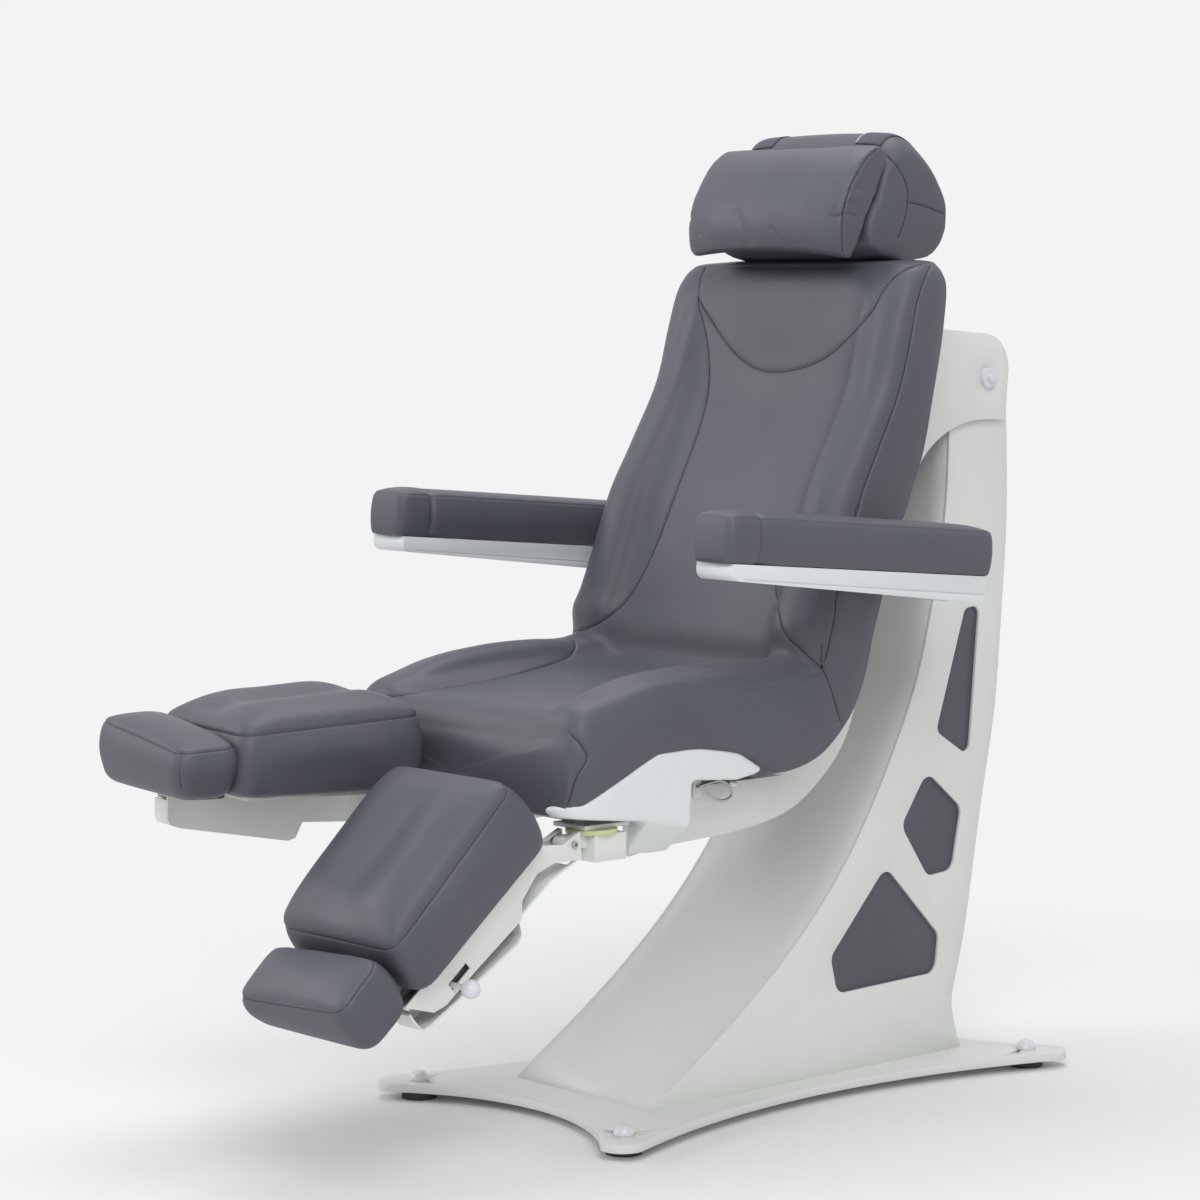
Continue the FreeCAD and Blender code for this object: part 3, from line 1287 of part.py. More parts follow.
    # Foot slide with its board, and the clamp knob in its slot
    knob_z = s.slot_height
    foot_shift = knob_v - slot_at
    bar_low = "calf_board_rise - 2 * slide_thick"
    slide_bar = block("slide_width", "slide_length", "slide_thick", (
        "-slide_width / 2", f"-foot_pad_start - foot_pad_length * 0.8 + {foot_shift}", bar_low,
    ))
    lug_start, lug_across = side_range(side, "0", "slide_width / 2")
    lug = block(lug_across, "2 * stud_width", "calf_board_rise - 2 * slide_thick", (
        lug_start, f"{knob_v} - stud_width", f"{knob_z} - stud_width",
    ))
    start, across = side_range(side, "-calf_width * 0.62", "slide_width / 2")
    foot_board = block(across, "foot_pad_length * 0.8", "foot_pad_base - calf_board_rise - 2 * seat_fit", (
        start, f"-foot_pad_start - foot_pad_length * 0.8 + {foot_shift}", "calf_board_rise + seat_fit",
    ))
    riser = block("slide_width", "foot_pad_length * 0.6", "2 * slide_thick + 2 * seat_fit", (
        "-slide_width / 2", f"-foot_pad_start - foot_pad_length * 0.8 + {foot_shift}",
        "calf_board_rise - 2 * slide_thick",
    ))
    stud_hole = round_bar("stud_width + 2 * running_fit", "slide_width", (
        f"{side} * slide_width / 4 - slide_width / 2", repr(knob_v), repr(knob_z),
    ), "x")
    slide = fuse(slide_bar, lug, foot_board, riser)
    node(f"foot_slide_{name}", cut(slide, stud_hole), leg_place)

    foot = pad_form(
        centre_x, -s.foot_pad_start - s.foot_pad_length + foot_shift, s.foot_pad_length, s.calf_width,
        s.foot_pad_base, s.foot_pad_thick, s.calf_crown / 2,
    )
    node(f"foot_pad_{name}", solid_feature(foot, "foot"), leg_place)

    neck = s.knob_reach - math.sqrt(s.knob_width ** 2 - s.stud_width ** 2) / 2
    turned = [
        Vector(side * x, knob_v + y, knob_z) for x, y in (
            (s.slide_width / 4, 0), (s.slide_width / 4, s.stud_width / 2), (neck, s.stud_width / 2),
            (s.knob_reach, s.knob_width / 2), (s.knob_reach + s.knob_width / 2, 0),
        )
    ]
    profile = Part.Wire([
        Part.LineSegment(turned[0], turned[1]).toShape(),
        Part.LineSegment(turned[1], turned[2]).toShape(),
        Part.Arc(turned[2], turned[3], turned[4]).toShape(),
        Part.LineSegment(turned[4], turned[0]).toShape(),
    ])
    knob = Part.Face(profile).revolve(turned[0], Vector(1, 0, 0), 360)
    node(f"clamp_knob_{name}", solid_feature(knob, "knob"), leg_place)

# Control box on the base, inside the column
node("control_box", block(
    "2 * control_half_width", "control_length", "control_height",
    ("-control_half_width", f"{column_y} + column_depth / 2 - control_length / 2", f"{base_top} + seat_fit"),
))

doc.recompute()
faults = []
for item in doc.Objects:
    if "Invalid" in item.State or "Error" in item.State:
        faults.append(f"{item.Label}: {item.State}")
for label, item in nodes.items():
    if item.Shape.isNull() or not item.Shape.isValid() or not item.Shape.Solids:
        faults.append(f"{label}: bad shape")
if faults:
    raise RuntimeError("\n".join(faults))

os.makedirs("parts", exist_ok=True)
for label, item in nodes.items():
    item.Shape.exportStep(f"parts/{label}.step")
    box = item.Shape.BoundBox
    print(
        f"{label}: {len(item.Shape.Solids)} solids, {item.Shape.Volume / 1000:.0f} cm3, "
        f"x {box.XMin:.0f} {box.XMax:.0f}, y {box.YMin:.0f} {box.YMax:.0f}, z {box.ZMin:.0f} {box.ZMax:.0f}"
    )
print(len(nodes), "nodes")
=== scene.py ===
"""Podiatry chair: padding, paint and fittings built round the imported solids, in metres and in their frame."""

import json
import logging
import math
from collections.abc import Iterator
from contextlib import contextmanager
from dataclasses import dataclass
from enum import Enum

import bmesh
import bpy
import numpy as np
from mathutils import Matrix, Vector
from mathutils.bvhtree import BVHTree
from mathutils.kdtree import KDTree

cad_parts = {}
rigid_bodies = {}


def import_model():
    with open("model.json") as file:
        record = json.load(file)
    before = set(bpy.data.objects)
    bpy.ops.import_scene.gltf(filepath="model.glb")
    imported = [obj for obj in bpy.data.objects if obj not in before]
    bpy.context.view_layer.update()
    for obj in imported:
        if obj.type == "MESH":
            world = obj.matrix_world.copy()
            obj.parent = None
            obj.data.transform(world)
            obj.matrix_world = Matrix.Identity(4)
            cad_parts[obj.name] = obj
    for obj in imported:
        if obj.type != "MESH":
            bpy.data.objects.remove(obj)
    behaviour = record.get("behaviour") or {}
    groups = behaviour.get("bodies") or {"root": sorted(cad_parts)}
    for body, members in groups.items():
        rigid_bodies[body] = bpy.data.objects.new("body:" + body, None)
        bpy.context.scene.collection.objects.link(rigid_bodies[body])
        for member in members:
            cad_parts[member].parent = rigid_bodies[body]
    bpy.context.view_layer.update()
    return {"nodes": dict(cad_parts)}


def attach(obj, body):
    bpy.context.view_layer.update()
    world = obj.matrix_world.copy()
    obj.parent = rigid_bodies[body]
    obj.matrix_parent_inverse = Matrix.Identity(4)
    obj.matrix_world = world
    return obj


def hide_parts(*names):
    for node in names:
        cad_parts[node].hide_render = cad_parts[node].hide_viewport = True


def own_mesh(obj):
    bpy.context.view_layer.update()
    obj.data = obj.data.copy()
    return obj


log = logging.getLogger("podiatry_chair")
MM = 0.001
# The photograph's frame, and the width of the film that the lens is given for
FRAME_PIXELS = 1200
SENSOR_MM = 36
# Spacing of the points along a seam
SEAM_STEP = 2 * MM
# Frames that the cloth solver runs, and rounds in which its swelling is evened out
CLOTH_FRAMES = 20
SWELL_ROUNDS = 20


def linear(hex_colour: str) -> tuple[float, float, float, float]:
    """Turn an sRGB hex colour into linear red, green, blue and alpha.

    Args:
        hex_colour: "#RRGGBB".

    Returns:
        Four numbers from 0 to 1.
    """
    channels = [int(hex_colour[i:i + 2], 16) / 255 for i in (1, 3, 5)]
    return (*[c / 12.92 if c <= 0.04045 else ((c + 0.055) / 1.055) ** 2.4 for c in channels], 1.0)


def add_node(
    tree: bpy.types.NodeTree, kind: str, settings: dict | None = None, links: dict | None = None,
) -> bpy.types.Node:
    """Add a shader node with its settings and its incoming links.

    Args:
        tree: The material's node tree.
        kind: The node's Blender type.
        settings: Attribute names, or input names or numbers, and their values.
        links: Input names or numbers and the sockets that feed them.

    Returns:
        The new node.
    """
    node = tree.nodes.new(kind)
    for key, value in (settings or {}).items():
        if isinstance(key, str) and hasattr(node, key):
            setattr(node, key, value)
        else:
            node.inputs[key].default_value = value
    for key, socket in (links or {}).items():
        tree.links.new(socket, node.inputs[key])
    return node


class Grain(Enum):
    """How a surface is broken up."""

    LEATHERETTE = "pebbled coated cloth"
    ORANGE_PEEL = "sprayed powder paint"
    BRUSHED = "drawn or plated metal"
    MOULDED = "spark eroded mould"
    RIBBED = "narrow woven webbing"


@dataclass(frozen=True)
class Finish:
    """One surface finish: colour, gloss and a pattern of a real size in millimetres."""

    name: str
    base: str
    shade: str
    grain: Grain
    size_mm: float
    depth_mm: float
    roughness: float
    metallic: float = 0.0
    mottle_mm: float = 60.0
    coat: float = 0.0
    sheen: float = 0.0
    subsurface: float = 0.0

    def material(self) -> bpy.types.Material:
        """Return the Blender material, made on first use."""
        known = bpy.data.materials.get(self.name)
        return known if known else self._make()

    def on(self, item: bpy.types.Object) -> None:
        """Give an object this finish and no other."""
        item.data.materials.clear()
        item.data.materials.append(self.material())

    def _pattern(self, tree: bpy.types.NodeTree, place: bpy.types.NodeSocket) -> bpy.types.NodeSocket:
        """Build the relief pattern.

        Args:
            tree: The material's node tree.
            place: Object coordinates.

        Returns:
            The socket with the relief's height.
        """
        scale = 1 / (self.size_mm * MM)
        if self.grain is Grain.LEATHERETTE:
            stretched = add_node(tree, "ShaderNodeTexNoise", {"Scale": scale / 3, "Detail": 2.0}, {"Vector": place})
            mixed = add_node(tree, "ShaderNodeMix", {"data_type": "VECTOR", "Factor": 0.0008}, {
                4: place, 5: stretched.outputs["Color"],
            })
            cells = add_node(tree, "ShaderNodeTexVoronoi", {"feature": "SMOOTH_F1", "Scale": scale}, {
                "Vector": mixed.outputs[1],
            })
            return cells.outputs["Distance"]
        if self.grain is Grain.BRUSHED:
            drawn = add_node(tree, "ShaderNodeMapping", {"Scale": (scale, scale, scale / 30)}, {"Vector": place})
            lines = add_node(tree, "ShaderNodeTexNoise", {"Scale": 1.0, "Detail": 3.0}, {"Vector": drawn.outputs[0]})
            return lines.outputs[0]
        if self.grain is Grain.RIBBED:
            ribs = add_node(tree, "ShaderNodeTexWave", {"bands_direction": "X", "Scale": scale / 3}, {"Vector": place})
            return ribs.outputs[1]
        detail = 4.0 if self.grain is Grain.MOULDED else 1.0
        specks = add_node(tree, "ShaderNodeTexNoise", {"Scale": scale, "Detail": detail, "Roughness": 0.4}, {
            "Vector": place,
        })
        return specks.outputs[0]

    def _make(self) -> bpy.types.Material:
        """Build the node tree: mottled colour, uneven gloss and a fine relief."""
        made = bpy.data.materials.new(self.name)
        made.use_nodes = True
        tree = made.node_tree
        shader = tree.nodes["Principled BSDF"]
        place = add_node(tree, "ShaderNodeTexCoord").outputs["Object"]
        cloud = add_node(tree, "ShaderNodeTexNoise", {
            "Scale": 1 / (self.mottle_mm * MM), "Detail": 3.0, "Roughness": 0.55,
        }, {"Vector": place})
        relief = self._pattern(tree, place)
        blended = add_node(tree, "ShaderNodeMath", {"operation": "MULTIPLY_ADD", 1: 0.35}, {
            0: relief, 2: cloud.outputs[0],
        })
        share = add_node(tree, "ShaderNodeMapRange", {"From Min": 0.35, "From Max": 0.95}, {
            "Value": blended.outputs[0],
        })
        colour = add_node(tree, "ShaderNodeMix", {"data_type": "RGBA", 6: linear(self.base), 7: linear(self.shade)}, {
            0: share.outputs[0],
        })
        gloss = add_node(tree, "ShaderNodeMapRange", {
            "To Min": self.roughness - 0.05, "To Max": min(1.0, self.roughness + 0.06),
        }, {"Value": cloud.outputs[0]})
        bump = add_node(tree, "ShaderNodeBump", {"Strength": 0.6, "Distance": self.depth_mm * MM}, {"Height": relief})
        tree.links.new(colour.outputs[2], shader.inputs["Base Color"])
        tree.links.new(gloss.outputs[0], shader.inputs["Roughness"])
        tree.links.new(bump.outputs[0], shader.inputs["Normal"])
        shader.inputs["Metallic"].default_value = self.metallic
        shader.inputs["Coat Weight"].default_value = self.coat
        shader.inputs["Coat Roughness"].default_value = 0.12
        shader.inputs["Sheen Weight"].default_value = self.sheen
        shader.inputs["Subsurface Weight"].default_value = self.subsurface
        shader.inputs["Subsurface Scale"].default_value = 2 * MM
        return made


# Coated upholstery cloth: the pebble is about 1 mm on the real one and drawn at 2.2 mm so that it shows.
LEATHERETTE = Finish("slate_leatherette", "#54565F", "#4D4F58", Grain.LEATHERETTE, 2.2, 0.12, 0.50, mottle_mm=140)
# The same cloth where it is folded into a seam and gathers shade.
SEAM_CORD = Finish("slate_seam_cord", "#2E2F36", "#292A30", Grain.LEATHERETTE, 1.5, 0.05, 0.7)
# Bonded polyester thread, a little lighter than the cloth.
THREAD = Finish("slate_thread", "#7C7E88", "#6F717B", Grain.RIBBED, 0.4, 0.03, 0.6)
# Polyester powder paint on steel sheet: faint orange peel of 3 mm, satin.
POWDER_PAINT = Finish("white_powder_paint", "#E3E6E2", "#DEE1DD", Grain.ORANGE_PEEL, 3.0, 0.02, 0.42, mottle_mm=400)
# Moulded ABS, slightly cooler and glossier than the paint.
MOULDED_ABS = Finish("white_moulded_abs", "#E2E6E8", "#DDE1E3", Grain.MOULDED, 1.2, 0.015, 0.38, mottle_mm=300)
# Turned acetal: caps and ball knob.
ACETAL = Finish("white_acetal", "#E2E2E8", "#DCDCE3", Grain.MOULDED, 0.8, 0.01, 0.25, coat=0.3, subsurface=0.1)
# Cast nylon, yellowed, waxy.
CAST_NYLON = Finish("cast_nylon", "#D9DDB0", "#CBD09C", Grain.MOULDED, 2.0, 0.03, 0.40, subsurface=0.2)
# Nitrile rubber feet.
RUBBER = Finish("black_rubber", "#17171A", "#222226", Grain.MOULDED, 1.0, 0.05, 0.62)
# Zinc plated steel, brushed along Z.
ZINC_PLATE = Finish("zinc_plate", "#BFC2C4", "#A9ADB0", Grain.BRUSHED, 0.8, 0.01, 0.32, metallic=1.0)
# Hard chromed rod.
CHROME_ROD = Finish("chromed_rod", "#D5D8DA", "#CFD2D5", Grain.BRUSHED, 0.5, 0.004, 0.12, metallic=1.0)
# Glass filled nylon housings.
BLACK_NYLON = Finish("black_nylon", "#1E1F22", "#2A2B2F", Grain.MOULDED, 1.5, 0.06, 0.5)
# Black paint on the frames inside the column; on the foot boards the same black is painted shadow, the dark line under
# the foot pads.
BLACK_PAINT_AND_SHADOW = Finish("black_paint", "#2A2B2D", "#333437", Grain.ORANGE_PEEL, 3.0, 0.02, 0.45)
# Guide pads and bushes of white polymer.
GUIDE_POLYMER = Finish("guide_polymer", "#EDEDE6", "#E4E4DC", Grain.MOULDED, 1.0, 0.02, 0.4)
# Elastic webbing of the pillow's straps.
WEBBING = Finish("dark_webbing", "#585963", "#50515B", Grain.RIBBED, 2.0, 0.15, 0.8)
# Pale bound edge of those straps.
PALE_EDGE = Finish("pale_edge_binding", "#E9E9EC", "#DDDDE2", Grain.RIBBED, 1.0, 0.05, 0.6)


@dataclass(frozen=True)
class Eye:
    """The photograph's point of view, which also guides where seams lie."""

    place: tuple[float, float, float] = (3.672084, -3.509751, 1.159285)
    azimuth: float = 48.425
    pitch: float = 5.071
    lens_mm: float = 105.34

    def direction(self) -> Vector:
        """Return the unit vector along the line of sight."""
        a, p = math.radians(self.azimuth), math.radians(self.pitch)
        return Vector((-math.sin(a) * math.cos(p), math.cos(a) * math.cos(p), -math.sin(p)))

    def sight(self, across: float, down: float) -> Vector:
        """Return the unit vector from the eye through a place in the photograph's 1200 pixel frame: the line of sight
        plus its right and up directions times the pixel's distance from the middle over the focal length in pixels.

        Args:
            across: Pixels from the left.
            down: Pixels from the top.

        Returns:
            The unit vector.
        """
        ahead = self.direction()
        right = ahead.cross(Vector((0, 0, 1))).normalized()
        focal = self.lens_mm / SENSOR_MM * FRAME_PIXELS
        middle = FRAME_PIXELS / 2
        aside, above = (across - middle) / focal, (middle - down) / focal
        return (ahead + right * aside + right.cross(ahead) * above).normalized()

    def camera(self) -> None:
        """Make the scene's camera."""
        data = bpy.data.cameras.new("studio_camera")
        data.lens = self.lens_mm
        data.sensor_width = SENSOR_MM
        data.clip_end = 100
        item = bpy.data.objects.new("studio_camera", data)
        item.location = self.place
        item.rotation_mode = "QUATERNION"
        item.rotation_quaternion = self.direction().to_track_quat("-Z", "Y")
        bpy.context.scene.collection.objects.link(item)
        bpy.context.scene.camera = item


@dataclass
class Studio:
    """Pale floor, soft lamps and an even surround."""

    backdrop: str = "#F3F3F3"
    floor_radius: float = 9.0
    surround: float = 0.50
    # Name, place, size in metres, watts
    lamps: tuple = (
        ("key", (3.2, -2.6, 3.6), 2.6, 92.0),
        ("fill", (-3.2, -3.4, 2.8), 2.6, 62.0),
        ("top", (-0.4, 0.4, 4.4), 2.6, 60.0),
    )
    aim: tuple[float, float, float] = (0.0, -0.1, 0.7)

    def build(self) -> None:
        """Light the scene and lay the floor."""
        world = bpy.data.worlds.new("surround")
        bpy.context.scene.world = world
        world.use_nodes = True
        tree = world.node_tree
        tree.nodes.clear()
        seen = self._seen(tree)
        soft = add_node(tree, "ShaderNodeBackground", {"Color": linear("#FFFFFF"), "Strength": self.surround})
        plain = add_node(tree, "ShaderNodeBackground", {"Color": linear(self.backdrop), "Strength": 1.0})
        both = add_node(tree, "ShaderNodeMixShader", {}, {0: seen, 1: soft.outputs[0], 2: plain.outputs[0]})
        add_node(tree, "ShaderNodeOutputWorld", {}, {"Surface": both.outputs[0]})
        for name, place, size, power in self.lamps:
            data = bpy.data.lights.new(name, "AREA")
            data.energy = power
            data.size = size
            lamp = bpy.data.objects.new(name, data)
            lamp.location = place
            lamp.rotation_mode = "QUATERNION"
            lamp.rotation_quaternion = (Vector(self.aim) - Vector(place)).to_track_quat("-Z", "Y")
            bpy.context.scene.collection.objects.link(lamp)
        self._floor()

    def _seen(self, tree: bpy.types.NodeTree) -> bpy.types.NodeSocket:
        """Return the largest of Is Camera Ray, Is Glossy Ray and Is Transmission Ray."""
        path = add_node(tree, "ShaderNodeLightPath")
        gloss = add_node(tree, "ShaderNodeMath", {"operation": "MAXIMUM"}, {
            0: path.outputs["Is Glossy Ray"], 1: path.outputs["Is Transmission Ray"],
        })
        return add_node(tree, "ShaderNodeMath", {"operation": "MAXIMUM"}, {
            0: path.outputs["Is Camera Ray"], 1: gloss.outputs[0],
        }).outputs[0]

    def _floor(self) -> None:
        """Lay a disc that catches the shadow and fades into the backdrop."""
        angles = np.linspace(0, 2 * np.pi, 65)[:-1]
        rim = np.stack([np.cos(angles), np.sin(angles), 0 * angles], 1) * self.floor_radius
        item = new_piece("studio_floor", rim, [list(range(len(rim)))])
        made = bpy.data.materials.new("studio_floor")
        made.use_nodes = True
        tree = made.node_tree
        tree.nodes.clear()
        place = add_node(tree, "ShaderNodeTexCoord").outputs["Object"]
        reach = add_node(tree, "ShaderNodeVectorMath", {"operation": "LENGTH"}, {0: place})
        fade = add_node(tree, "ShaderNodeMapRange", {
            "interpolation_type": "SMOOTHSTEP", "From Min": 0.7, "From Max": 1.7,
        }, {"Value": reach.outputs["Value"]})
        matt = add_node(tree, "ShaderNodeBsdfDiffuse", {"Color": linear("#F3F3F3")})
        lift = add_node(tree, "ShaderNodeEmission", {"Color": linear(self.backdrop), "Strength": 1.0})
        far = add_node(tree, "ShaderNodeMath", {"operation": "MULTIPLY"}, {0: fade.outputs[0], 1: self._seen(tree)})
        both = add_node(tree, "ShaderNodeMixShader", {}, {0: far.outputs[0], 1: matt.outputs[0], 2: lift.outputs[0]})
        add_node(tree, "ShaderNodeOutputMaterial", {}, {"Surface": both.outputs[0]})
        item.data.materials.append(made)


def new_piece(name: str, points: np.ndarray, faces: list) -> bpy.types.Object:
    """Make an object from points and faces.

    Args:
        name: The piece's name.
        points: Rows of x, y, z in metres.
        faces: Lists of point numbers.

    Returns:
        The object, linked to the scene, smooth shaded.
    """
    mesh = bpy.data.meshes.new(name)
    mesh.from_pydata(np.asarray(points, float).tolist(), [], faces)
    mesh.shade_smooth()
    item = bpy.data.objects.new(name, mesh)
    bpy.context.scene.collection.objects.link(item)
    return item


def grid_faces(rows: int, columns: int, closed_columns: bool) -> np.ndarray:
    """Number the quads of a grid of points stored row by row.

    Args:
        rows: Points along the first parameter.
        columns: Points along the second parameter.
        closed_columns: Whether the last column joins the first.

    Returns:
        An array of four point numbers for each quad.
    """
    spans = columns if closed_columns else columns - 1
    i, j = np.meshgrid(np.arange(rows - 1), np.arange(spans), indexing="ij")
    k = (j + 1) % columns
    quads = np.stack([i * columns + j, i * columns + k, (i + 1) * columns + k, (i + 1) * columns + j], -1)
    return quads.reshape(-1, 4)


def smooth_rows(table: np.ndarray, places: np.ndarray, closed: bool = False) -> np.ndarray:
    """Blend rows of numbers with a Catmull-Rom curve: each span is a cubic through its ends, whose slopes are half the
    difference of the rows on either side.

    Args:
        table: One row for each whole number of the parameter.
        places: Parameter values.
        closed: Whether the first row follows the last.

    Returns:
        One blended row for each parameter value.
    """
    count = len(table)
    base = np.floor(places).astype(int)
    if not closed:
        base = np.clip(base, 0, count - 2)
    t = (places - base).reshape(-1, *([1] * (table.ndim - 1)))

    def row(shift: int) -> np.ndarray:
        """Return the rows a number of steps away, wrapped or clamped."""
        index = base + shift
        return table[index % count] if closed else table[np.clip(index, 0, count - 1)]

    a, b, c, d = row(-1), row(0), row(1), row(2)
    return b + 0.5 * t * (c - a + t * (2 * a - 5 * b + 4 * c - d + t * (3 * (b - c) + d - a)))


def resample(points: np.ndarray, step: float, smooth: bool = True) -> np.ndarray:
    """Space points evenly along a line.

    Args:
        points: The line's given points.
        step: The wanted spacing in metres.
        smooth: Whether the line curves between its points.

    Returns:
        Evenly spaced points.
    """
    fine = smooth_rows(points, np.linspace(0, len(points) - 1, len(points) * 24)) if smooth else points
    run = np.concatenate([[0], np.cumsum(np.linalg.norm(np.diff(fine, axis=0), axis=1))])
    count = max(2, int(run[-1] / step) + 1)
    at = np.linspace(0, run[-1], count)
    return np.stack([np.interp(at, run, fine[:, i]) for i in range(fine.shape[1])], 1)


def coordinates(mesh: bpy.types.Mesh) -> np.ndarray:
    """Return a mesh's points as an array."""
    flat = np.empty(len(mesh.vertices) * 3)
    mesh.vertices.foreach_get("co", flat)
    return flat.reshape(-1, 3)


def normals(mesh: bpy.types.Mesh) -> np.ndarray:
    """Return the normals at a mesh's points as an array."""
    flat = np.empty(len(mesh.vertices) * 3)
    mesh.vertices.foreach_get("normal", flat)
    return flat.reshape(-1, 3)


def move_to(mesh: bpy.types.Mesh, points: np.ndarray) -> None:
    """Write an array of points into a mesh."""
    mesh.vertices.foreach_set("co", points.ravel())
    mesh.update()


def settle(item: bpy.types.Object) -> None:
    """Apply an object's modifiers to its mesh."""
    depsgraph = bpy.context.evaluated_depsgraph_get()
    mesh = bpy.data.meshes.new_from_object(item.evaluated_get(depsgraph))
    item.modifiers.clear()
    item.data = mesh
    mesh.shade_smooth()


@contextmanager
def rework(item: bpy.types.Object) -> Iterator[bmesh.types.BMesh]:
    """Open an object's mesh for editing and write it back."""
    work = bmesh.new()
    work.from_mesh(item.data)
    yield work
    work.to_mesh(item.data)
    work.free()


def close_up(item: bpy.types.Object) -> None:
    """Merge doubled points and turn every face outwards."""
    with rework(item) as work:
        bmesh.ops.remove_doubles(work, verts=work.verts, dist=0.02 * MM)
        bmesh.ops.recalc_face_normals(work, faces=work.faces)
    item.data.shade_smooth()


def skin(name: str, rings: np.ndarray) -> bpy.types.Object:
    """Close rings of points into one skin with a face over each end.

    Args:
        name: The new piece's name.
        rings: Rings by points by x, y, z, in metres.

    Returns:
        The object.
    """
    count, around = rings.shape[:2]
    faces = grid_faces(count, around, True).tolist()
    faces.append(list(range(around)))
    faces.append(list(range((count - 1) * around, count * around)))
    item = new_piece(name, rings.reshape(-1, 3), faces)
    close_up(item)
    return item


def copy_solid(node: str, name: str) -> bpy.types.Object:
    """Copy a solid's mesh into a new object and link it."""
    item = bpy.data.objects.new(name, bpy.data.objects[node].data.copy())
    bpy.context.scene.collection.objects.link(item)
    return item


def even_out(item: bpy.types.Object, voxel_mm: float, rounds: int) -> None:
    """Add an even voxel mesh and rounds of smoothing, in which each point moves half way to its neighbours' mean.

    Args:
        item: The object.
        voxel_mm: The size of the mesh's cells.
        rounds: Rounds of smoothing.
    """
    even = item.modifiers.new("even", "REMESH")
    even.mode = "VOXEL"
    even.voxel_size = voxel_mm * MM
    even.use_smooth_shade = True
    soft = item.modifiers.new("soft", "SMOOTH")
    soft.factor = 0.5
    soft.iterations = rounds


def search_tree(item: bpy.types.Object) -> BVHTree:
    """Return a search tree of an object's faces as they now are."""
    work = bmesh.new()
    work.from_mesh(item.data)
    tree = BVHTree.FromBMesh(work)
    work.free()
    return tree


def point_tree(rows: np.ndarray) -> KDTree:
    """Return a search tree of points."""
    tree = KDTree(len(rows))
    for number, row in enumerate(rows):
        tree.insert(row, number)
    tree.balance()
    return tree


@dataclass(frozen=True)
class Seam:
    """A sewn line on a padded piece. Its guide points are y and z in millimetres in a plane of one x, or, where there
    is no plane, places in the photograph's 1200 pixel frame."""

    plane: float | None
    points: tuple
    mirror: bool = True
    groove_mm: float = 2.2
    half_width_mm: float = 2.4
    cord: bool = True
    cord_mm: float = 0.7
    stitched: bool = False
    stitch_offset_mm: float = 5.0


def tube(points: np.ndarray, radius: float, sides: int = 6) -> tuple[np.ndarray, np.ndarray]:
    """Carry a small ring along a line: each point is the line's point plus the radius times the cosine and sine of the
    ring's angle along two directions square to the line.

    Args:
        points: The line's points.
        radius: The ring's radius.
        sides: Points in the ring.

    Returns:
        The points and the quads.
    """
    ahead = np.gradient(points, axis=0)
    ahead /= np.linalg.norm(ahead, axis=1, keepdims=True) + 1e-12
    up = np.cross(ahead, np.array([0.31, 0.87, 0.39]))
    up /= np.linalg.norm(up, axis=1, keepdims=True) + 1e-12
    side = np.cross(ahead, up)
    angle = np.linspace(0, 2 * np.pi, sides, endpoint=False)
    ring = up[:, None] * np.cos(angle)[None, :, None] + side[:, None] * np.sin(angle)[None, :, None]
    taper = np.ones(len(points))
    taper[[0, -1]] = 0.05
    return (points[:, None] + radius * taper[:, None, None] * ring).reshape(-1, 3), grid_faces(len(points), sides, True)


def join_parts(name: str, parts: list[tuple[np.ndarray, np.ndarray]]) -> bpy.types.Object:
    """Put several grids into one object.

    Args:
        name: The piece's name.
        parts: Points and faces of each part.

    Returns:
        The object.
    """
    points, faces, start = [], [], 0
    for part_points, part_faces in parts:
        points.append(part_points)
        faces.extend((part_faces + start).tolist())
        start += len(part_points)
    return new_piece(name, np.concatenate(points), faces)


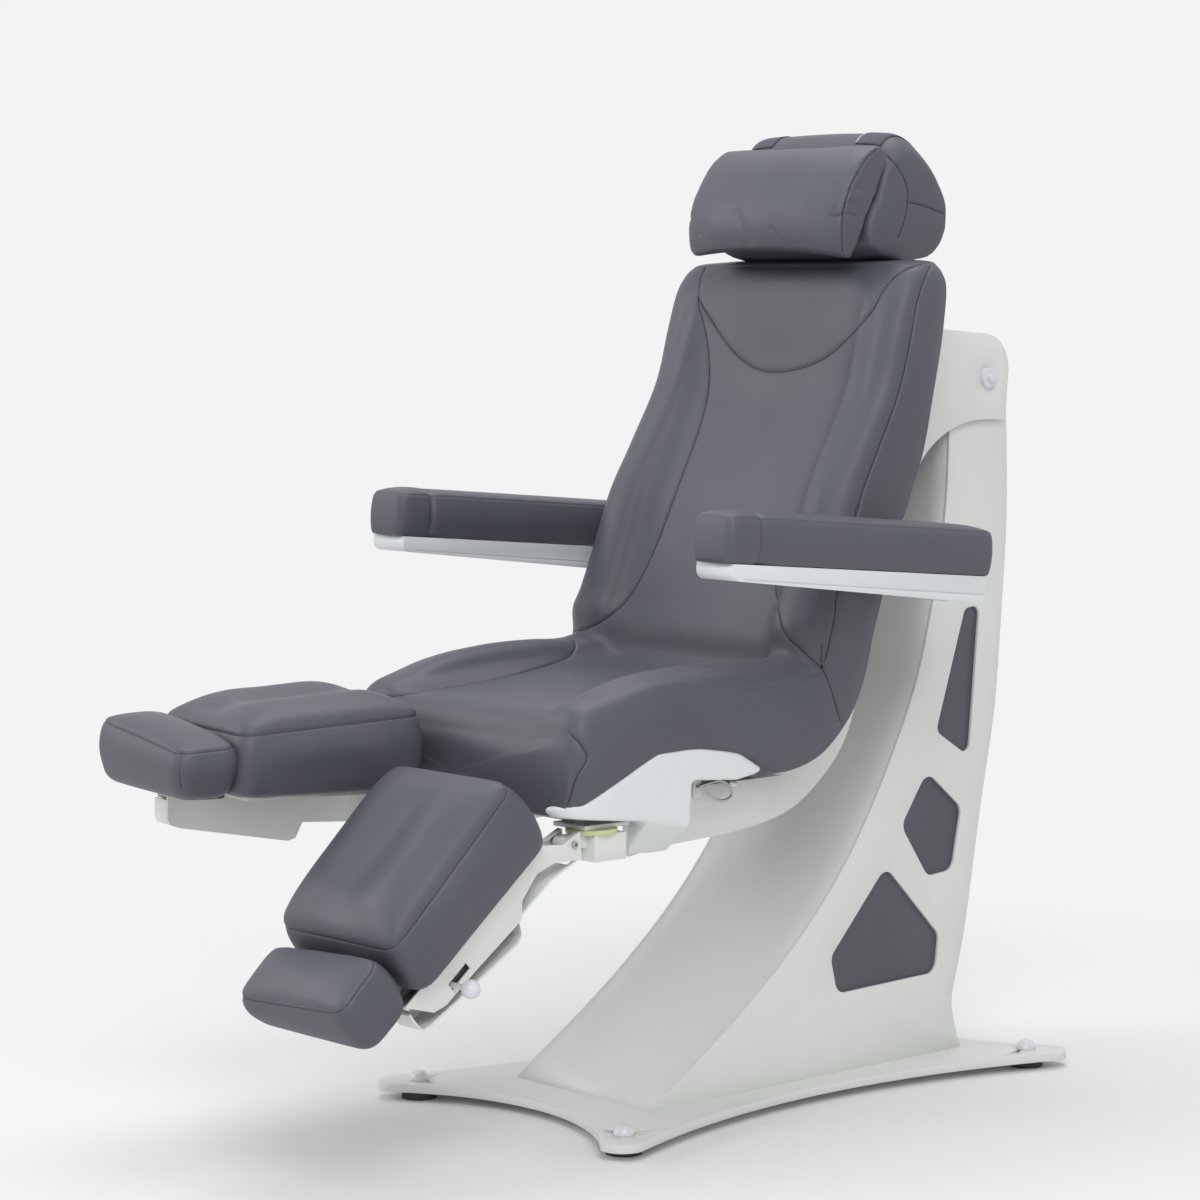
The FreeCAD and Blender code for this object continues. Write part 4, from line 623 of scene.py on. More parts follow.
class Sewing:
    """Refines, grooves and stitches a padded piece along its seams."""

    # A sight line's hit further than this from its guide point is on another part of the piece
    NEAR_ENOUGH = 0.12
    # Faces are split once within each of these distances of a seam
    REACHES = (9 * MM, 5 * MM)
    # Shares of the narrow and the wide bell curve of a groove, and how much wider the wide one is
    NARROW, WIDE, WIDER = 0.7, 0.3, 3.4
    STITCH_PITCH = 6.5 * MM
    THREAD_RADIUS = 0.38 * MM

    def __init__(self, item: bpy.types.Object, body: str, eye: Eye) -> None:
        """Remember the piece, the body that it rides on and the point of view that guides its seams."""
        self.item = item
        self.body = body
        self.eye = eye

    def _lay(self, tree: BVHTree, seam: Seam) -> np.ndarray:
        """Lay a seam's line on the piece, along the sight line of each guide point or straight to the nearest place.

        Args:
            tree: The piece's search tree.
            seam: The seam.

        Returns:
            Points on the surface, about 2 mm apart.
        """
        origin = Vector(self.eye.place)
        flat = np.array(seam.points, float)
        laid = []
        if seam.plane is None:
            for pixel in resample(flat, 1.6):
                hit = tree.ray_cast(origin, self.eye.sight(*pixel))[0]
                if hit is not None:
                    laid.append(tuple(hit))
        else:
            for row in resample(np.column_stack([np.full(len(flat), seam.plane), flat]) * MM, SEAM_STEP):
                target = Vector(row)
                hit = tree.ray_cast(origin, (target - origin).normalized())[0]
                near = tree.find_nearest(target)[0]
                good = hit is not None and (hit - target).length < self.NEAR_ENOUGH
                laid.append(tuple(hit if good else near))
        return self._snap(tree, self._even(np.array(laid), 14))

    def _even(self, line: np.ndarray, rounds: int) -> np.ndarray:
        """Smooth a line: each inner point becomes a quarter of each neighbour and half of itself, again and again."""
        for _ in range(rounds):
            line[1:-1] = (line[:-2] + 2 * line[1:-1] + line[2:]) / 4
        return resample(line, SEAM_STEP, smooth=False)

    def _snap(self, tree: BVHTree, line: np.ndarray) -> np.ndarray:
        """Move each point of a line to the nearest place on the surface."""
        return np.array([tuple(tree.find_nearest(Vector(row))[0]) for row in line])

    def sew(self, seams: list[Seam], laid: list[tuple[Seam, np.ndarray]] = ()) -> None:
        """Cut the grooves and add the cords and the stitches.

        Args:
            seams: The seams given by guide points.
            laid: Lines that already follow the surface, each with how it is sewn.
        """
        tree = search_tree(self.item)
        lines = []
        for seam in seams:
            line = self._lay(tree, seam)
            lines.append((seam, line))
            if seam.mirror:
                lines.append((seam, self._snap(tree, line * np.array([-1, 1, 1]))))
        lines.extend((style, self._snap(tree, line)) for style, line in laid)
        samples = np.concatenate([line for _, line in lines])
        for reach in self.REACHES:
            self._refine(samples, reach)
        for seam, line in lines:
            self._groove(line, seam.groove_mm * MM, seam.half_width_mm * MM)
        self._thread(lines)

    def _refine(self, samples: np.ndarray, reach: float) -> None:
        """Split the faces near the seams once.

        Args:
            samples: Points on the seams.
            reach: How far from a seam faces are split.
        """
        tree = point_tree(samples)
        with rework(self.item) as work:
            near = {v for v in work.verts if tree.find(v.co)[2] < reach}
            edges = [e for e in work.edges if e.verts[0] in near and e.verts[1] in near]
            bmesh.ops.subdivide_edges(work, edges=edges, cuts=1, use_grid_fill=True, smooth=0.3)
        self.item.data.shade_smooth()

    def _groove(self, line: np.ndarray, depth: float, width: float) -> None:
        """Sink the surface along a line: each point moves in along its normal by the depth times the sum of two bell
        curves of its distance from the line, a narrow one for the stitch and a shallow wide one for the pull of the
        stuffing.

        Args:
            line: Points on the seam.
            depth: The groove's depth.
            width: The distance at which the narrow curve has fallen to a third.
        """
        mesh = self.item.data
        points, ways = coordinates(mesh), normals(mesh)
        tree = point_tree(line)
        low, high = line.min(0) - 8 * width, line.max(0) + 8 * width
        inside = np.nonzero(((points > low) & (points < high)).all(1))[0]
        far = np.array([tree.find(points[i])[2] for i in inside])
        wide = np.exp(-(far / (self.WIDER * width)) ** 2)
        move = -depth * (self.NARROW * np.exp(-(far / width) ** 2) + self.WIDE * wide)
        points[inside] += ways[inside] * move[:, None]
        move_to(mesh, points)

    def _thread(self, lines: list[tuple[Seam, np.ndarray]]) -> None:
        """Lay a dark cord in each groove that has one and a row of stitches beside it, and parent both to the piece."""
        tree = search_tree(self.item)
        cords, stitches = [], []
        for seam, line in lines:
            if seam.cord:
                sunk = self._snap(tree, line)
                cords.append(tube(self._even(sunk, 4), seam.cord_mm * MM, 5))
            if seam.stitched:
                stitches.extend(self._stitches(tree, line, seam.stitch_offset_mm * MM))
        if cords:
            cord = join_parts(self.item.name + "_seams", cords)
            SEAM_CORD.on(cord)
            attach(cord, self.body)
        if stitches:
            row = join_parts(self.item.name + "_stitches", stitches)
            THREAD.on(row)
            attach(row, self.body)

    def _stitches(self, tree: BVHTree, line: np.ndarray, offset: float) -> list[tuple[np.ndarray, np.ndarray]]:
        """Make short thread stitches beside a seam, each a bow that dips into the cloth at both ends.

        Args:
            tree: The piece's search tree.
            line: Points on the seam.
            offset: The distance of the stitches from the seam.

        Returns:
            Points and faces of each stitch.
        """
        even = resample(line, self.STITCH_PITCH, smooth=False)
        ahead = np.gradient(even, axis=0)
        made = []
        for place, way in zip(even[1:-1], ahead[1:-1]):
            _, normal, _, _ = tree.find_nearest(Vector(place))
            if normal is None:
                continue
            along = Vector(way).normalized()
            out = along.cross(normal).normalized()
            spot, lift, _, _ = tree.find_nearest(Vector(place) + out * offset)
            middle = np.array(spot + lift * 0.25 * MM)
            step = np.array(along)
            bow = np.array(lift)
            run = np.linspace(-1, 1, 4)[:, None]
            path = middle + step * run * 2.1 * MM - bow * (run ** 2) * 0.35 * MM
            made.append(tube(path, self.THREAD_RADIUS, 4))
        return made


@dataclass
class Padding:
    """What every padded piece shares: stuffing, cover and sewing."""

    eye: Eye
    voxel_mm: float = 5.0
    pressure: float = 4.0
    cap_mm: float = 8.0
    stiffness: float = 12.0
    bending: float = 0.6

    def from_solid(self, node: str, name: str, shrink_mm: float = 2.0, rounds: int = 12) -> bpy.types.Object:
        """Copy a solid, remesh it evenly, soften its edges and draw it in a little, ready to be stuffed.

        Args:
            node: The solid's node.
            name: The new piece's name.
            shrink_mm: How far the surface is drawn in.
            rounds: Rounds of smoothing.

        Returns:
            The object.
        """
        item = copy_solid(node, name)
        item.data.materials.clear()
        close_up(item)
        even_out(item, self.voxel_mm, rounds)
        settle(item)
        move_to(item.data, coordinates(item.data) - normals(item.data) * shrink_mm * MM)
        return item

    def stuff(self, item: bpy.types.Object) -> None:
        """Blow the cover up a little with the cloth solver and keep only what swells: each point moves out along its
        normal by the outward part of the solver's step, at most the cap, after rounds in which that part becomes half
        of itself and half of its neighbours' mean. So the faces swell and nothing is drawn in.

        Args:
            item: The cover.
        """
        before = coordinates(item.data)
        cloth = item.modifiers.new("stuffing", "CLOTH")
        settings = cloth.settings
        settings.quality = 4
        settings.use_pressure = True
        settings.uniform_pressure_force = self.pressure
        settings.effector_weights.gravity = 0
        settings.tension_stiffness = settings.compression_stiffness = self.stiffness
        settings.bending_stiffness = self.bending
        cloth.collision_settings.use_collision = False
        scene = bpy.context.scene
        for frame_number in range(1, CLOTH_FRAMES + 1):
            scene.frame_set(frame_number)
        depsgraph = bpy.context.evaluated_depsgraph_get()
        after = coordinates(item.evaluated_get(depsgraph).data)
        item.modifiers.clear()
        scene.frame_set(1)
        ways = normals(item.data)
        out = np.clip(((after - before) * ways).sum(1), 0, self.cap_mm * MM)
        ends = np.empty(len(item.data.edges) * 2, int)
        item.data.edges.foreach_get("vertices", ends)
        ends = ends.reshape(-1, 2)
        count = np.bincount(ends.ravel(), minlength=len(out))
        for _ in range(SWELL_ROUNDS):
            total = np.zeros_like(out)
            np.add.at(total, ends[:, 0], out[ends[:, 1]])
            np.add.at(total, ends[:, 1], out[ends[:, 0]])
            out = 0.5 * out + 0.5 * total / np.maximum(count, 1)
        move_to(item.data, before + ways * out[:, None])

    def cover(self, item: bpy.types.Object, body: str, nodes: tuple[str, ...], fill: float) -> None:
        LEATHERETTE.on(item)
        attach(item, body)
        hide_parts(*nodes)
        log.info("%s: %d faces", item.name, len(item.data.polygons))

    def divide(self, item: bpy.types.Object) -> None:
        """Subdivide the cover once, smoothly, and apply it."""
        fine = item.modifiers.new("fine", "SUBSURF")
        fine.levels = fine.render_levels = 1
        settle(item)


@dataclass
class BucketShell(Padding):
    """Seat and back in one bucket: two bolsters with a hollow between them, carried along a line of stations."""

    rings: int = 150
    around: int = 132
    half_width: float = 261.0
    valley: float = 42.0
    shrink_mm: float = 1.5
    # Each row: under line y, z, crest line y, z, half width share, hollow share; from the knee to the shoulders
    stations: tuple = (
        (-515, 471, -511, 567, 0.885, 0.12), (-490, 478, -492, 607, 0.935, 0.35), (-440, 502, -440, 624, 0.955, 0.70),
        (-365, 536, -372, 640, 0.965, 1), (-290, 539, -290, 646, 0.98, 1), (-215, 526, -215, 647, 0.99, 1),
        (-150, 494, -160, 646, 1, 1), (-70, 506, -120, 648, 1, 1), (-8, 556, -100, 655, 1, 1),
        (25, 613, -99, 690, 1, 1), (45, 672, -84, 722, 0.99, 1), (78, 757, -58, 790, 0.98, 1),
        (118, 854, -28, 868, 0.975, 0.95), (150, 930, 10, 935, 0.968, 0.85), (173, 1019, 59, 1019, 0.963, 0.60),
        (190, 1100, 83, 1097, 0.962, 0.40), (196, 1158, 101, 1151, 0.955, 0.25), (193, 1183, 117, 1179, 0.93, 0.12),
        (190, 1195, 127, 1191, 0.89, 0.06),
    )
    # Across the section, from the middle of the underside round to the middle of the top:
    # share of the half width, share of the height, share of the hollow taken off
    section: tuple = (
        (0, 0, 0), (0.60, 0, 0), (0.92, 0.0, 0), (0.98, 0.10, 0), (1.0, 0.42, 0), (0.99, 0.70, 0), (0.95, 0.90, 0),
        (0.87, 1.0, 0), (0.80, 1.0, 0), (0.715, 1.0, 0.18), (0.655, 1.0, 0.60), (0.56, 1.0, 0.92), (0.40, 1.0, 1.0),
        (0, 1.0, 1.0),
    )
    # Each end closes with rings: share of the end's size, millimetres pushed out
    knee_rings: tuple = (
        (0.03, 17.2), (0.25, 17.0), (0.50, 16.5), (0.72, 15.0), (0.84, 12.5), (0.92, 9.0), (0.97, 5.0),
    )
    shoulder_rings: tuple = (
        (0.03, 8.5), (0.30, 8.4), (0.60, 8.0), (0.83, 6.8), (0.92, 5.4), (0.965, 3.6), (0.99, 1.8),
    )
    seams: tuple = (
        # Where the back's side panel meets the seat's, at the hip
        Seam(250, ((-60, 668), (-62, 648), (-60, 634), (-46, 611), (-32, 577), (-24, 556))),
        # Inner edge of the far bolster, from the shoulder to the hip, and of the near one below the armrest
        Seam(None, (
            (708.8, 262.3), (700.6, 274.7), (697.8, 299.4), (703.3, 324), (707.4, 351.5), (708.2, 381.7),
            (703.3, 411.8), (693.7, 442), (681.4, 475), (655, 546), (632, 592), (611, 615), (593.7, 626),
            (572, 631.4),
        ), mirror=False),
        Seam(None, (
            (776, 560), (774.6, 590), (778.7, 614.8), (784.2, 634), (800.7, 650.4), (817, 664), (824, 668),
        ), mirror=False),
        # The yoke's curve across the back, up to the near shoulder
        Seam(None, (
            (697.8, 299.4), (712.9, 324), (732, 351.5), (754, 368), (776, 371.5), (800.7, 368), (828, 355.6),
            (850, 335), (872, 310.3), (883, 288.4), (899.4, 272), (923, 262.5),
        ), mirror=False),
        # Face to side seam of the back, above and below the armrest
        Seam(215, (
            (189, 1194), (165, 1147), (149, 1085), (125, 1010), (89, 940), (55, 877), (44, 846),
        )),
        Seam(None, (
            (858.5, 508), (848, 551), (837.7, 592.8), (835, 620.3), (829.5, 645), (825.4, 661.4),
        )),
        # Soft crest of the near seat bolster
        Seam(215, (
            (-51, 639), (-222, 647), (-386, 636), (-448, 621), (-484, 606), (-491, 584),
        ), groove_mm=1.4, half_width_mm=6, cord=False),
        # Inner edge of the far seat bolster, which hooks round at the hip
        Seam(None, (
            (352, 704), (360, 702), (390, 696.5), (444, 687), (492, 678.5), (540, 666.5), (564, 658.5), (573, 653),
            (577, 646), (573, 639),
        ), mirror=False),
        # Stitched edge of the seat's side panel
        Seam(250, (
            (-70, 629), (-124, 617), (-208, 615), (-298, 617), (-367, 613), (-428, 594), (-479, 564), (-493, 549),
        ), groove_mm=1.0, half_width_mm=3, cord=False, stitched=True, stitch_offset_mm=3),
        # Front corner
        Seam(230, ((-511, 579), (-476, 546), (-497, 521), (-514, 482))),
    )

    def _rings(self) -> np.ndarray:
        """Work out the rings: each is the section's curve, scaled to the height and half width that the stations give
        at that place, and set up on the line from the under side to the crest.

        Returns:
            An array of rings by points by x, y, z in millimetres.
        """
        table = np.array(self.stations, float)
        rows = smooth_rows(table, np.linspace(0, len(table) - 1, self.rings))
        under = rows[:, 0:2]
        rise = rows[:, 2:4] - under
        tall = np.linalg.norm(rise, axis=1)
        half = rows[:, 4] * self.half_width
        hollow = rows[:, 5] * self.valley
        share = np.array(self.section, float)
        whole = np.concatenate([share, share[-2:0:-1] * np.array([-1, 1, 1])])
        fine = smooth_rows(whole, np.linspace(0, len(whole), self.around, endpoint=False), closed=True)
        across = fine[None, :, 0] * half[:, None]
        up = fine[None, :, 1] * tall[:, None] - fine[None, :, 2] * hollow[:, None]
        unit = rise / tall[:, None]
        y = under[:, None, 0] + unit[:, None, 0] * up
        z = under[:, None, 1] + unit[:, None, 1] * up
        return np.stack([across, y, z], -1)

    def _ends(self, rings: np.ndarray, first: bool) -> np.ndarray:
        """Close an end with shrinking copies of its ring, pushed out along the way the rings run.

        Args:
            rings: All the rings.
            first: Whether this is the knee end.

        Returns:
            The extra rings, from the middle of the end outwards.
        """
        ring, beside = (rings[0], rings[2]) if first else (rings[-1], rings[-3])
        table = self.knee_rings if first else self.shoulder_rings
        centre = (ring.max(0) + ring.min(0)) / 2
        way = centre - (beside.max(0) + beside.min(0)) / 2
        way /= np.linalg.norm(way)
        extra = [centre + (ring - centre) * scale + way * push for scale, push in table]
        return np.array(extra)

    def build(self) -> None:
        """Make the shell, stuff it and sew it."""
        rings = self._rings()
        knee = self._ends(rings, True)
        shoulder = self._ends(rings, False)[::-1]
        item = skin("bucket_shell_cover", np.concatenate([knee, rings, shoulder]) * MM)
        move_to(item.data, coordinates(item.data) - normals(item.data) * self.shrink_mm * MM)
        self.stuff(item)
        self.divide(item)
        Sewing(item, "carrier", self.eye).sew(list(self.seams))
        self.cover(item, "carrier", ("seat_cushion", "back_cushion"), 0.9)


@dataclass(frozen=True)
class LegPlace:
    """Where a leg rest hangs: outboard, along and square to its arm, from its hinge."""

    name: str
    side: int
    swing: float
    lower: float
    axis: tuple[float, float] = (200.0, -445.25)
    hinge_height: float = 429.2
    hinge_reach: float = 50.0

    def to_chair(self, points: np.ndarray) -> np.ndarray:
        """Turn rows of outboard, along, up distances in millimetres into chair places in metres: first a turn about the
        hinge, then a turn about the upright swivel.

        Args:
            points: Rows of outboard, along and up.

        Returns:
            Rows of x, y, z in metres.
        """
        low, out = math.radians(self.lower), math.radians(self.side * self.swing)
        x = self.side * points[..., 0]
        y = -points[..., 1] * math.cos(low) - points[..., 2] * math.sin(low) - self.hinge_reach
        z = -points[..., 1] * math.sin(low) + points[..., 2] * math.cos(low) + self.hinge_height
        turned = (
            self.side * self.axis[0] + x * math.cos(out) - y * math.sin(out),
            self.axis[1] + x * math.sin(out) + y * math.cos(out),
            z,
        )
        return np.stack(turned, -1) * MM


LEG_PLACES = (LegPlace("left", 1, 0, 40), LegPlace("right", -1, 8, -2))


@dataclass(frozen=True)
class PadShape:
    """A boxed pad in its own directions, in millimetres: across, along and up."""

    across: tuple[float, float]
    along: tuple[float, float]
    low: float
    seam: float
    crown: float
    corner: float = 22.0
    across_power: float = 3.2
    along_power: float = 6.0
    under_round: float = 6.0
    trough: float = 0.0
    trough_width: float = 45.0
    wedge: float = 0.0
    slope: float = 0.0
    hump: tuple[float, float, float] = (0.0, 1.0, 0.0)
    side_swell: float = 4.0

    def _ring(self) -> np.ndarray:
        """Return the pad's outline from above, as shares of its half sizes: a rectangle whose corners are quarter
        circles of the corner's radius, 12 points each, with straight runs of evenly spaced points between them."""
        half = np.array([self.across[1] - self.across[0], self.along[1] - self.along[0]]) / 2
        turn = np.linspace(0, np.pi / 2, 12)
        corners = []
        for quarter, (sx, sy) in enumerate(((1, 1), (-1, 1), (-1, -1), (1, -1))):
            angle = turn + quarter * np.pi / 2
            centre = (half - self.corner) * np.array([sx, sy])
            corners.append(centre + self.corner * np.stack([np.cos(angle), np.sin(angle)], 1))
        outline = np.concatenate([*corners, corners[0][:1]])
        return resample(outline, 5.0, smooth=False)[:-1] / half

    def surface(self) -> tuple[np.ndarray, np.ndarray]:
        """Work out the pad: copies of its outline that grow over the underside, climb the swelling side and shrink over
        the crowned top. The crown is the product of (1 - |a|^p)^0.5 across and along, less a bell shaped trough down
        the middle that fades with 1 - b^2 towards both ends.

        Returns:
            The grid's points, and the ring at the top seam.
        """
        ring = self._ring()
        middle = np.array([sum(self.across), sum(self.along)]) / 2
        half = np.array([self.across[1] - self.across[0], self.along[1] - self.along[0]]) / 2
        # Each row: share of the outline, millimetres outwards, share of the side's height or 2 for the top, lift
        rows = [(scale, -self.under_round * scale, 0.0, 0.0) for scale in (0.02, 0.4, 0.75)]
        for turn in np.linspace(0, np.pi / 2, 6):
            rows.append((1.0, -self.under_round * (1 - math.sin(turn)), 0.0, self.under_round * (1 - math.cos(turn))))
        for share in np.linspace(0, 1, 9)[1:]:
            swell = self.side_swell * math.sin(math.pi * share) ** 0.8
            rows.append((1.0, swell, share, self.under_round * (1 - share)))
        for scale in (0.99, 0.975, 0.95, 0.92, 0.87, 0.80, 0.70, 0.58, 0.45, 0.32, 0.20, 0.09, 0.015):
            rows.append((scale, 0.0, 2.0, 0.0))
        place, width, height = self.hump
        points = []
        for scale, swell, level, lift in rows:
            flat = middle + ring * (half * scale + swell)
            a = (flat[:, 0] - middle[0]) / half[0]
            b = (flat[:, 1] - middle[1]) / half[1]
            top = self.seam + self.wedge * a + self.slope * b
            up = self.low + lift + (top - self.low) * level
            if level > 1:
                edge = np.clip(1 - np.abs(a) ** self.across_power, 0, 1)
                edge = edge * np.clip(1 - np.abs(b) ** self.along_power, 0, 1)
                dip = self.trough * np.exp(-(a * half[0] / self.trough_width) ** 2) * np.clip(1 - b ** 2, 0, 1)
                step = height * (0.5 + 0.5 * np.tanh((flat[:, 1] - place) / width))
                up = top + self.crown * edge ** 0.5 + (step - dip) * edge
            points.append(np.stack([flat[:, 0], flat[:, 1], up], 1))
        # The last ring of the side is the last one before the rows of the top
        rim = max(number for number, row in enumerate(rows) if row[2] <= 1)
        return np.array(points), np.array(points)[rim]


@dataclass
class BoxedPads(Padding):
    """What calf, foot and arm pads share: an even mesh, stuffing and a seam round the top."""

    def finish(self, item: bpy.types.Object, body: str, node: str, laid: list, fill: float) -> None:
        """Even out, stuff and sew one pad, give it the cloth finish and its body, and hide its solid.

        Args:
            item: The closed pad.
            body: The body that it rides on.
            node: The solid that it stands for.
            laid: Its seams, each how it is sewn and its line in chair places.
            fill: How tight it is stuffed; not used.
        """
        even_out(item, self.voxel_mm, 4)
        settle(item)
        self.stuff(item)
        self.divide(item)
        Sewing(item, body, self.eye).sew([], [(style, resample(line, SEAM_STEP, smooth=False)) for style, line in laid])
        self.cover(item, body, (node,), fill)


@dataclass
class LegRests(BoxedPads):
    """Calf pads and foot pads of both leg rests, the foot pads' boards and slides, and dark plates behind the slots
    that paint the shade seen through them.
    """

    calf: PadShape = PadShape(
        (-193, 51), (37, 313), 51.5, 143, 31, corner=24, across_power=6, along_power=4, under_round=8, slope=-10,
        trough=15, trough_width=42, side_swell=6,
    )
    foot: PadShape = PadShape(
        (-191, 50), (333, 421), 50.5, 127, 14, corner=21, across_power=2.4, along_power=3, under_round=22, wedge=11,
        slope=-3, side_swell=5,
    )
    board: PadShape = PadShape((-150, 10), (326, 390), 46.5, 51, 0.2, corner=14, under_round=1, side_swell=0)
    # For each leg: where its foot pad rests, and the share of the calf pad's length left at the slide's limit
    slides: tuple = ((0.0, 0.925), (-16.5, 0.95))
    style: Seam = Seam(0, (), groove_mm=1.6, half_width_mm=2.4, cord_mm=0.45, stitched=True, stitch_offset_mm=3.5)
    slide_end: float = 330.0
    # The dark plate is painted shade: it stands for the shade seen through the slot.
    # across, along and up of its middle, length between its round ends, their radius
    shade_plate: tuple[float, float, float, float, float] = (19.4, 247.0, 11.0, 34.0, 8.5)

    def _pad(self, place: LegPlace, shape: PadShape, pad: str, body: str, shift: float) -> None:
        """Make one pad in its leg's directions, a foot pad with a seam down its inner front corner.

        Args:
            place: The leg's place.
            shape: The pad's form.
            pad: The start of its names, calf_pad or foot_pad.
            body: The body that it rides on.
            shift: How far along it rests from where its form puts it.
        """
        grid, rim = shape.surface()
        grid[..., 1] += shift
        rim = rim + np.array([0, shift, 0])
        item = skin(f"{pad}_cover_{place.name}", place.to_chair(grid))
        laid = [(self.style, place.to_chair(np.concatenate([rim, rim[:1]])))]
        if shape is self.foot:
            heights = np.linspace(shape.low + shape.under_round * 0.6, shape.seam - shape.wedge + shape.slope, 20)
            corner = np.stack([heights * 0 + shape.across[0] + 6, heights * 0 + shape.along[1] + shift - 6, heights], 1)
            laid.append((self.style, place.to_chair(corner)))
        self.finish(item, body, f"{pad}_{place.name}", laid, 0.85)

    def _slide(self, place: LegPlace, shift: float) -> None:
        """Cut the slide off where the arm ends, and carry the foot pad on a thin board from there."""
        name = f"foot_slide_{place.name}"
        item = copy_solid(name, f"{name}_bar")
        close_up(item)
        ends = place.to_chair(np.array([[0, self.slide_end, 0], [0, self.slide_end + 100, 0]]))
        with rework(item) as work:
            cut = bmesh.ops.bisect_plane(
                work, geom=[*work.verts, *work.edges, *work.faces], plane_co=ends[0], plane_no=ends[1] - ends[0],
                clear_outer=True,
            )
            rim = [e for e in cut["geom_cut"] if isinstance(e, bmesh.types.BMEdge)]
            bmesh.ops.holes_fill(work, edges=rim, sides=0)
        ZINC_PLATE.on(item)
        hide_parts(name)
        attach(item, f"foot_support_{place.name}")
        grid, _ = self.board.surface()
        grid[..., 1] += shift
        board = skin(f"foot_board_{place.name}", place.to_chair(grid))
        # Painted shadow: the board's black stands for the dark shadow line under the foot pad.
        BLACK_PAINT_AND_SHADOW.on(board)
        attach(board, f"foot_support_{place.name}")

    def _shade_plate(self, place: LegPlace) -> None:
        """Put a dark plate with round ends behind the slot, as painted shade seen through it."""
        across, along, up, length, radius = self.shade_plate
        turn = np.linspace(0, 2 * np.pi, 33)[:-1]
        outline = np.stack([np.cos(turn) * radius + np.sign(np.cos(turn)) * length / 2, np.sin(turn) * radius], 1)
        rows = [[(across + deep, along + v, up + n) for v, n in outline] for deep in (0, -1.2)]
        item = skin(f"slot_liner_{place.name}", place.to_chair(np.array(rows)))
        # Painted shade: black where the inside of the slot falls in shade.
        BLACK_NYLON.on(item)
        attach(item, f"leg_{place.name}")

    def _give_way(self, place: LegPlace, keep: float) -> None:
        """Give the calf pad's cover a mesh of its own.

        Args:
            place: The leg's place.
            keep: The share of the pad's length that is left at the slide's longer limit; not used.
        """
        for item in [one for one in bpy.data.objects if one.name.startswith(f"calf_pad_cover_{place.name}")]:
            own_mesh(item)

    def build(self) -> None:
        """Make the four pads and what carries them."""
        for place, (shift, keep) in zip(LEG_PLACES, self.slides):
            self._pad(place, self.calf, "calf_pad", f"leg_{place.name}", 0)
            self._give_way(place, keep)
            self._pad(place, self.foot, "foot_pad", f"foot_support_{place.name}", shift)
            self._slide(place, shift)
            self._shade_plate(place)


@dataclass
class ArmPads(BoxedPads):
    """The two long armrest pads."""

    voxel_mm: float = 4.0
    cap_mm: float = 3.0
    shape: PadShape = PadShape(
        (-38, 38), (-30, 480), 14.5, 75, 7, corner=14, across_power=4, along_power=8, under_round=2,
        hump=(425, 10, 4.5), side_swell=2.5,
    )
    place_x: float = 345.0
    shaft: tuple[float, float] = (109.765, 747.0)
    tilt_degrees: float = 5.0
    pull_at: float = 424.0
    style: Seam = Seam(0, (), groove_mm=1.0, half_width_mm=2.0, cord=False, stitched=True, stitch_offset_mm=3)
    pull: Seam = Seam(0, (), groove_mm=4.5, half_width_mm=5.0, cord=False)

    def _to_chair(self, rows: np.ndarray, side: int) -> np.ndarray:
        """Turn across, along and up about the shaft into chair places in metres."""
        tilt = math.radians(self.tilt_degrees)
        y = self.shaft[0] - rows[..., 1] * math.cos(tilt) + rows[..., 2] * math.sin(tilt)
        z = self.shaft[1] + rows[..., 1] * math.sin(tilt) + rows[..., 2] * math.cos(tilt)
        return np.stack([side * (self.place_x + rows[..., 0]), y, z], -1) * MM

    def build(self) -> None:
        """Make both pads, sloped about their shaft and drawn in where the front block begins."""
        half, low, high = self.shape.across[1] + 2, self.shape.low, self.shape.seam
        band = [(-half, low), (-half, high), (-half * 0.8, high + 9), (half * 0.8, high + 9), (half, high), (half, low)]
        for name, side in (("left", 1), ("right", -1)):
            grid, rim = self.shape.surface()
            item = skin(f"armrest_cover_{name}", self._to_chair(grid, side))
            round_pad = np.array([(a, self.pull_at, n) for a, n in band], float)
            self.finish(item, f"armrest_{name}", f"armrest_pad_{name}", [
                (self.style, self._to_chair(np.concatenate([rim, rim[:1]]), side)),
                (self.pull, self._to_chair(round_pad, side)),
            ], 0.9)


